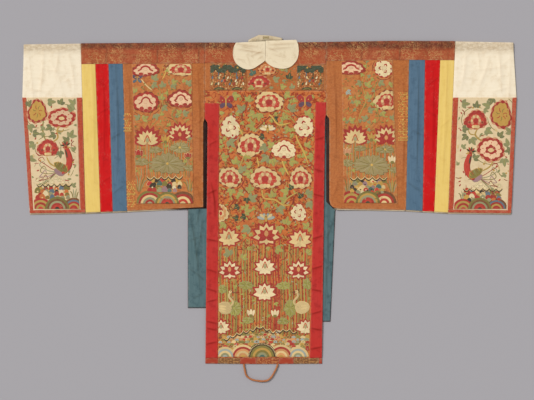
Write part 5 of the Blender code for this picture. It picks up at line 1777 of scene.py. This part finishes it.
sew_field(
    "right", inside((266.5, 257.5), (462, 441), -14, 501), 32, (268.2, 459, 74, 236),
    flowers=(
        (293.4, 473.6, 108, 50.4, "arched", 10), (410.4, 471.8, 64.8, 64.8, "loose", 30),
        (252, 354.8, 43.2, 54, "pink", 0), (421.2, 356.6, 93.6, 75.6, "full", 40),
    ),
    between=(
        (bud, (246.6, 432.2, 32.4, 36, "olive", "crimson", 60)),
        (leaf,
         (357.5, 417.1, 26, "leaf", 60), (405, 416, 24, "grey_green", -30),
         (353.5, 375, 24, "leaf", 100), (367.6, 323.1, 24, "grey_green", 20),
         (409.7, 304.4, 22, "leaf", -60), (339.5, 293.6, 24, "grey_green", 150),
         (299.5, 287.1, 24, "leaf", 30), (257.4, 398, 20, "pale_blue", 60),
         (286.2, 383.6, 20, "pale_blue", -40), (441, 416, 22, "leaf", 40),
         (444.6, 297.2, 22, "grey_green", 60), (261, 293.6, 22, "leaf", 100),
         (318.6, 416, 22, "grey_green", 200), (315, 344, 24, "leaf", -100)),
        (Stitching.line,
         (((347.4, 459.2), (333, 416), (347.4, 358.4), (325.8, 308), (315, 264.8)), 4, "straw"),
         (((390.6, 430.4), (376.2, 394.4), (383.4, 344), (397.8, 279.2)), 4, "reed")),
    ),
    lotuses=((307.8, 232.4, 93.6, 64.8, "cream", "bud", FAN, 0.78),
             (419.4, 236, 90, 61.2, "cream", "star", FAN, 0.84)),
    middle_bud=(366.5, 226.3),
    pads=((325.8, 183.8, 50.4, 21.6, False), (415.8, 180.2, 68.4, 32.4, True),
          (367.6, 124.4, 140.4, 75.6, True), (279, 131.6, 50.4, 28.8, False),
          (448.2, 106.4, 32.4, 25.2, False)),
    buds=((441, 144.6, 28.8, 32.4, "white", "pink"), (279, 173, 28.8, 32.4, "pink", "cream")),
    tufts=((282.6, 23.6, 5, 28, 56, ("sage", "olive", "grey_green")),
           (441, 23.6, 5, 24, 50, ("olive", "sage", "leaf"))),
    sea=(297, 419.4, 20, 59.6), edge=((289.8, 77.6), (354.6, 79.4), (423, 77.6)),
    hills=((295.2, 46.8, "gold", 0.2), (412.2, 45, "brown", 0.2), (353.5, 45, "green", 0.7)),
    level=-14.2, strewn=(268, 436, 99.2, 496),
)


# Embroidery of the cuff panels: three flowers with leaves, a long-tailed bird with curling
# feathers and small clouds, and the sea with three hills, on cream silk.
CUFF_SEA = ("crimson", "orange", "cream", "gold", "black", "sage", "red", "white", "olive",
            "crimson", "blue")
CUFF_FILL = (
    ("leaf", "grey_green", 19), ("petal", "grey_green", 16), ("line", "twig", 24),
    ("petal", "crimson", 11), ("dot", "gold", 7), ("line", "olive", 26), ("petal", "sand", 15),
    ("line", "ash", 24), ("line", "crimson", 16),
)


def bird(work, x, y, way):
    """A long-tailed bird: crest, red neck, striped wing, curling tail and small clouds."""
    at = scaled(x, y, way, 1)
    for n, colour in enumerate(("crimson", "sage", "olive", "mauve", "twig", "sage", "olive")):
        low = -84 - 8 * n
        feather = at((-24, -88), (-46 - 4 * n, low), (-74 - 6 * n, low + 18 - 7 * n),
                     (-98 + 4 * n, low + 34 - 9 * n), (-84 + 3 * n, low + 44 - 8 * n),
                     (-76 + 3 * n, low + 32 - 8 * n))
        work.line(feather, 3, colour, 0.05 + 0.03 * n, 0.35, 0.4)
    for n in range(8):
        px, py = x - way * (10 + 13 * n), y - 128 + (n % 3) * 7
        curl = ((px - 5, py - 2), (px, py + 4), (px + 5, py))
        work.ring(px, py, 9, 8, 4, 0.1, "white", "ash", 1.5, 0.0)
        work.line(curl, 1.6, ("crimson", "olive")[n % 2], 0.3, 0.2)
    work.petal(*at((-4, -104))[0], 44, 26, 90 + way * 62, 0.1, "mauve", "ash", 1.8, 0.2)
    for n, colour in enumerate(("black", "crimson", "dark_green", "crimson", "black")):
        work.petal(x, y, 20, 7, 90 + way * (80 - n * 34), 0.2, colour, "gold", 1.2, 0.3)
    work.petal(*at((5, -4))[0], 14, 5, 90 - way * 100, 0.4, "gold", None, 1, 0.5)
    neck = at((0, -2), (9, -28), (14, -52), (8, -78), (-12, -100))
    work.line(neck, 23, "red", 0.35, 0.5, 0.5)
    work.ring(*at((1, -4))[0], 7, 6, 4, 0.05, "crimson", "gold", 1.4, 0.7)
    work.line(at((-1, -14), (3, -26), (6, -42)), 6, "dark_green", 0.75, 0.2)
    work.petal(*at((8, -92))[0], 60, 30, 90 + way * 58, 0.15, "olive", "gold", 2.4, 0.55, grain=30)
    for n, colour in enumerate(("gold", "crimson", "sage", "brown", "gold")):
        px, py = -2 - 8 * n, -88 + 4.5 * n
        work.line(at((px, py), (px + 6, py + 10), (px + 7, py + 19 - n)), 2.8, colour, 0.98, 0.2)
    work.take(x, y - 40, 26)
    work.take(x - way * 50, y - 96, 40)


def sew_cuff(side, hold, seed, flowers, leaves, turn, stems, bird_at, strewn, **foot):
    """A cuff's panel; its leaves turn by the same angle from one to the next."""
    work = Stitching(f"{side}_cuff_stitches", grounds[side], APPLIED_LIFT, hold, seed)
    work.vine = "olive"
    sew(work, peony, *flowers)
    for n, (x, y) in enumerate(leaves):
        leaf(work, x, y, (30, 26)[n % 2], ("grey_green", "green")[n % 2], n * turn % 360)
    sew(work, Stitching.line, *stems)
    bird(work, *bird_at)
    sew_foot(work, colours=CUFF_SEA, arc=22, **foot)
    strew(work, *strewn, 0.38, CUFF_FILL, 300)
    work.finish()


sew_cuff("left", inside((-847, -882), (-681, -695), -36, 366), 37,
         flowers=((-834.5, 317, 68.4, 93.6, "gold", 0), (-747, 295.4, 100.8, 75.6, "ringed", 30),
                  (-796.3, 185.6, 75.6, 64.8, "rose", 10)),
         leaves=((-781.2, 351.2), (-748.1, 354.8), (-711.7, 351.2), (-795.6, 255.4), (-858.6, 254),
                 (-837, 237.4), (-711, 238.2), (-734.8, 218), (-858.6, 192.8), (-752.4, 160.4),
                 (-851.4, 142.4), (-862.2, 347.6), (-718.2, 329.6), (-783, 228.8)), turn=71,
         stems=((((-754.2, 268.4), (-763.2, 246.8), (-761.4, 221.6), (-779.4, 207.2)), 7, "straw"),
                (((-763.2, 246.8), (-747, 243.2), (-739.8, 254)), 5, "straw"),
                (((-811.8, 290), (-815.4, 250.4), (-804.6, 210.8)), 6, "reed"),
                (((-801, 153.2), (-790.2, 131.6), (-768.6, 117.2)), 6, "straw")),
         bird_at=(-732.6, 192.8, 1),
         tufts=((-700.2, -1.6, 4, 18, 42, ("olive", "sage", "grey_green")),),
         sea=(-833.4, -707.4, 2, 34.4), edge=((-837, 54.2), (-772.2, 56), (-711, 56)),
         hills=((-822.6, 41.4, "gold", 0.2), (-703.8, 41.4, "blue", 0.2),
                (-763.2, 45, "dark", 0.7)), level=-34.7, strewn=(-868, -690, 48.8, 362))
sew_cuff(
    "right", inside((661, 680), (854, 877), -36, 366), 38,
    flowers=((741.6, 286.4, 82.8, 72, "rose", 20), (833.4, 306.2, 82.8, 100.8, "gold", 0),
             (795.6, 182, 104.4, 86.4, "ringed", 40)),
    leaves=(
        (707.4, 344), (745.2, 344), (777.2, 340.4), (797.4, 351.2), (790.2, 243.2),
        (833.4, 236), (858.6, 250.4), (700.2, 221.6), (732.6, 207.2), (745.2, 153.2),
        (855, 207.2), (855, 174.8), (844.2, 131.6), (707.4, 254),
    ), turn=83,
    stems=(
        (((747, 254), (739.8, 232.4), (757.8, 214.4), (775.8, 210.8)), 7, "straw"),
        (((739.8, 232.4), (721.8, 236), (714.6, 250.4)), 5, "straw"),
        (((804.6, 138.8), (790.2, 117.2), (765, 102.8)), 6, "straw"),
    ),
    bird_at=(723.6, 171.2, -1), tufts=((696.6, -8.8, 4, 18, 42, ("olive", "sage", "grey_green")),),
    sea=(700.2, 837, -8.8, 21.8), edge=((696.6, 38), (768.6, 39.8), (837, 38)),
    hills=((696.6, 39.6, "gold", 0.2), (815.4, 41.4, "blue", 0.2),
           (756, 43.2, "dark", 0.7)), level=-36.2, strewn=(668, 868, 41.6, 362),
)


# Gilt marks on the sleeves: small squares and bars of gold leaf pressed on the orange silk
# beside the fields, half worn away. The bars lie at the heights that are given.
GILT_STEP, GILT_ROW = 7.5, 6  # from one square to the next, and from row to row


def press_gilt(side, name, left, right, low, high, bars, seed):
    """Rows of small squares of gold leaf between two sides, some of them lost, and bars."""
    work = Stitching(f"{side}_gilt_{name}", grounds[side], 0,
                     inside((left, left), (right, right), low, high, 0.5), seed)
    y = low + 4
    while y < high - 3:
        x = left + 4 + (4 if int((y - low) / 7) % 2 else 0)
        while x < right - 3:
            if work.draw.random() < 0.8:
                kind = work.draw.choice(("gold", "amber", "amber", "yellow"))
                wide, up = work.draw.uniform(2.6, 4.6), work.draw.uniform(1.8, 3)
                work.patch(ring_of(x, y, wide, up, 3, 0.1, work.draw.uniform(0, 3)), kind, None, 1,
                           0.0, 0.12)
            x += GILT_STEP
        y += GILT_ROW
    for level in bars:
        work.line(((left + 1, level), ((left + right) / 2, level), (right - 1, level)), 5, "gold",
                  0, 0.15, 0.05)
    work.finish()


press_gilt("left", "foot", -514.8, -480.6, -28.6, 70.4, (20,), 51)
press_gilt("left", "side", -525.6, -493.2, 243.2, 311.6, (257.6, 246.8), 52)
press_gilt("right", "side", 460.8, 498.6, 210.8, 390.8, (221.6, 211.9), 53)


# Piping of the collar: a thin rolled edge of the collar's own white stuff, sewn on round each
# lobe, and a tan patch with a brown line on the stand, painted shadow of the neck opening's gap.
LOBE_EDGES = {"left": ((-127, 549), (-130.5, 530), (-128.5, 510), (-122, 494), (-113, 484),
                       (-101, 475.8), (-89.5, 470.5), (-74, 468.4), (-57, 472.6), (-44, 480.4),
                       (-31, 489), (-17, 499)),
              "right": ((102, 558), (104.2, 537), (102.4, 517), (97, 501), (87.5, 489),
                        (78.5, 480), (65.5, 473.8), (46, 471), (22.5, 474.4), (6.5, 480.8),
                        (-5, 488.6), (-13.6, 498))}
for side, edge_points in LOBE_EDGES.items():
    work = Stitching(f"collar_piping_{side}", CollarGround(), 0, lambda places: places, 61)
    work.line(edge_points, 2.6, "white", 0.1, 0.7, 0.1)
    work.finish(collar_cloth)


STAND_FOOT, STAND_DEPTH = 571, 17.5  # where the stand comes out from the lobes, and how far
STAND_HEIGHT, STAND_FALL = 9.75, 2.75


class StandGround:
    """The stand's upper side falls from the lobes to its fold."""

    def at(self, x, y):
        """Height of the stand's upper side."""
        return STAND_HEIGHT - (y - STAND_FOOT) * STAND_FALL / STAND_DEPTH


# The slot: painted shadow of the gap in the neck opening.
work = Stitching("collar_slot_shadow", StandGround(), 0, lambda places: places, 62)
work.patch(np.array([(-24, 577), (-8, 577.5), (-2, 578.5), (-2, 587), (-24, 586.5)]), "ash",
           "brown", 1.6, 0.05, 0.2)
work.line(((-22, 581), (-12, 582), (-4, 581.5)), 2.2, "brown", 0.25, 0.15)
work.finish()
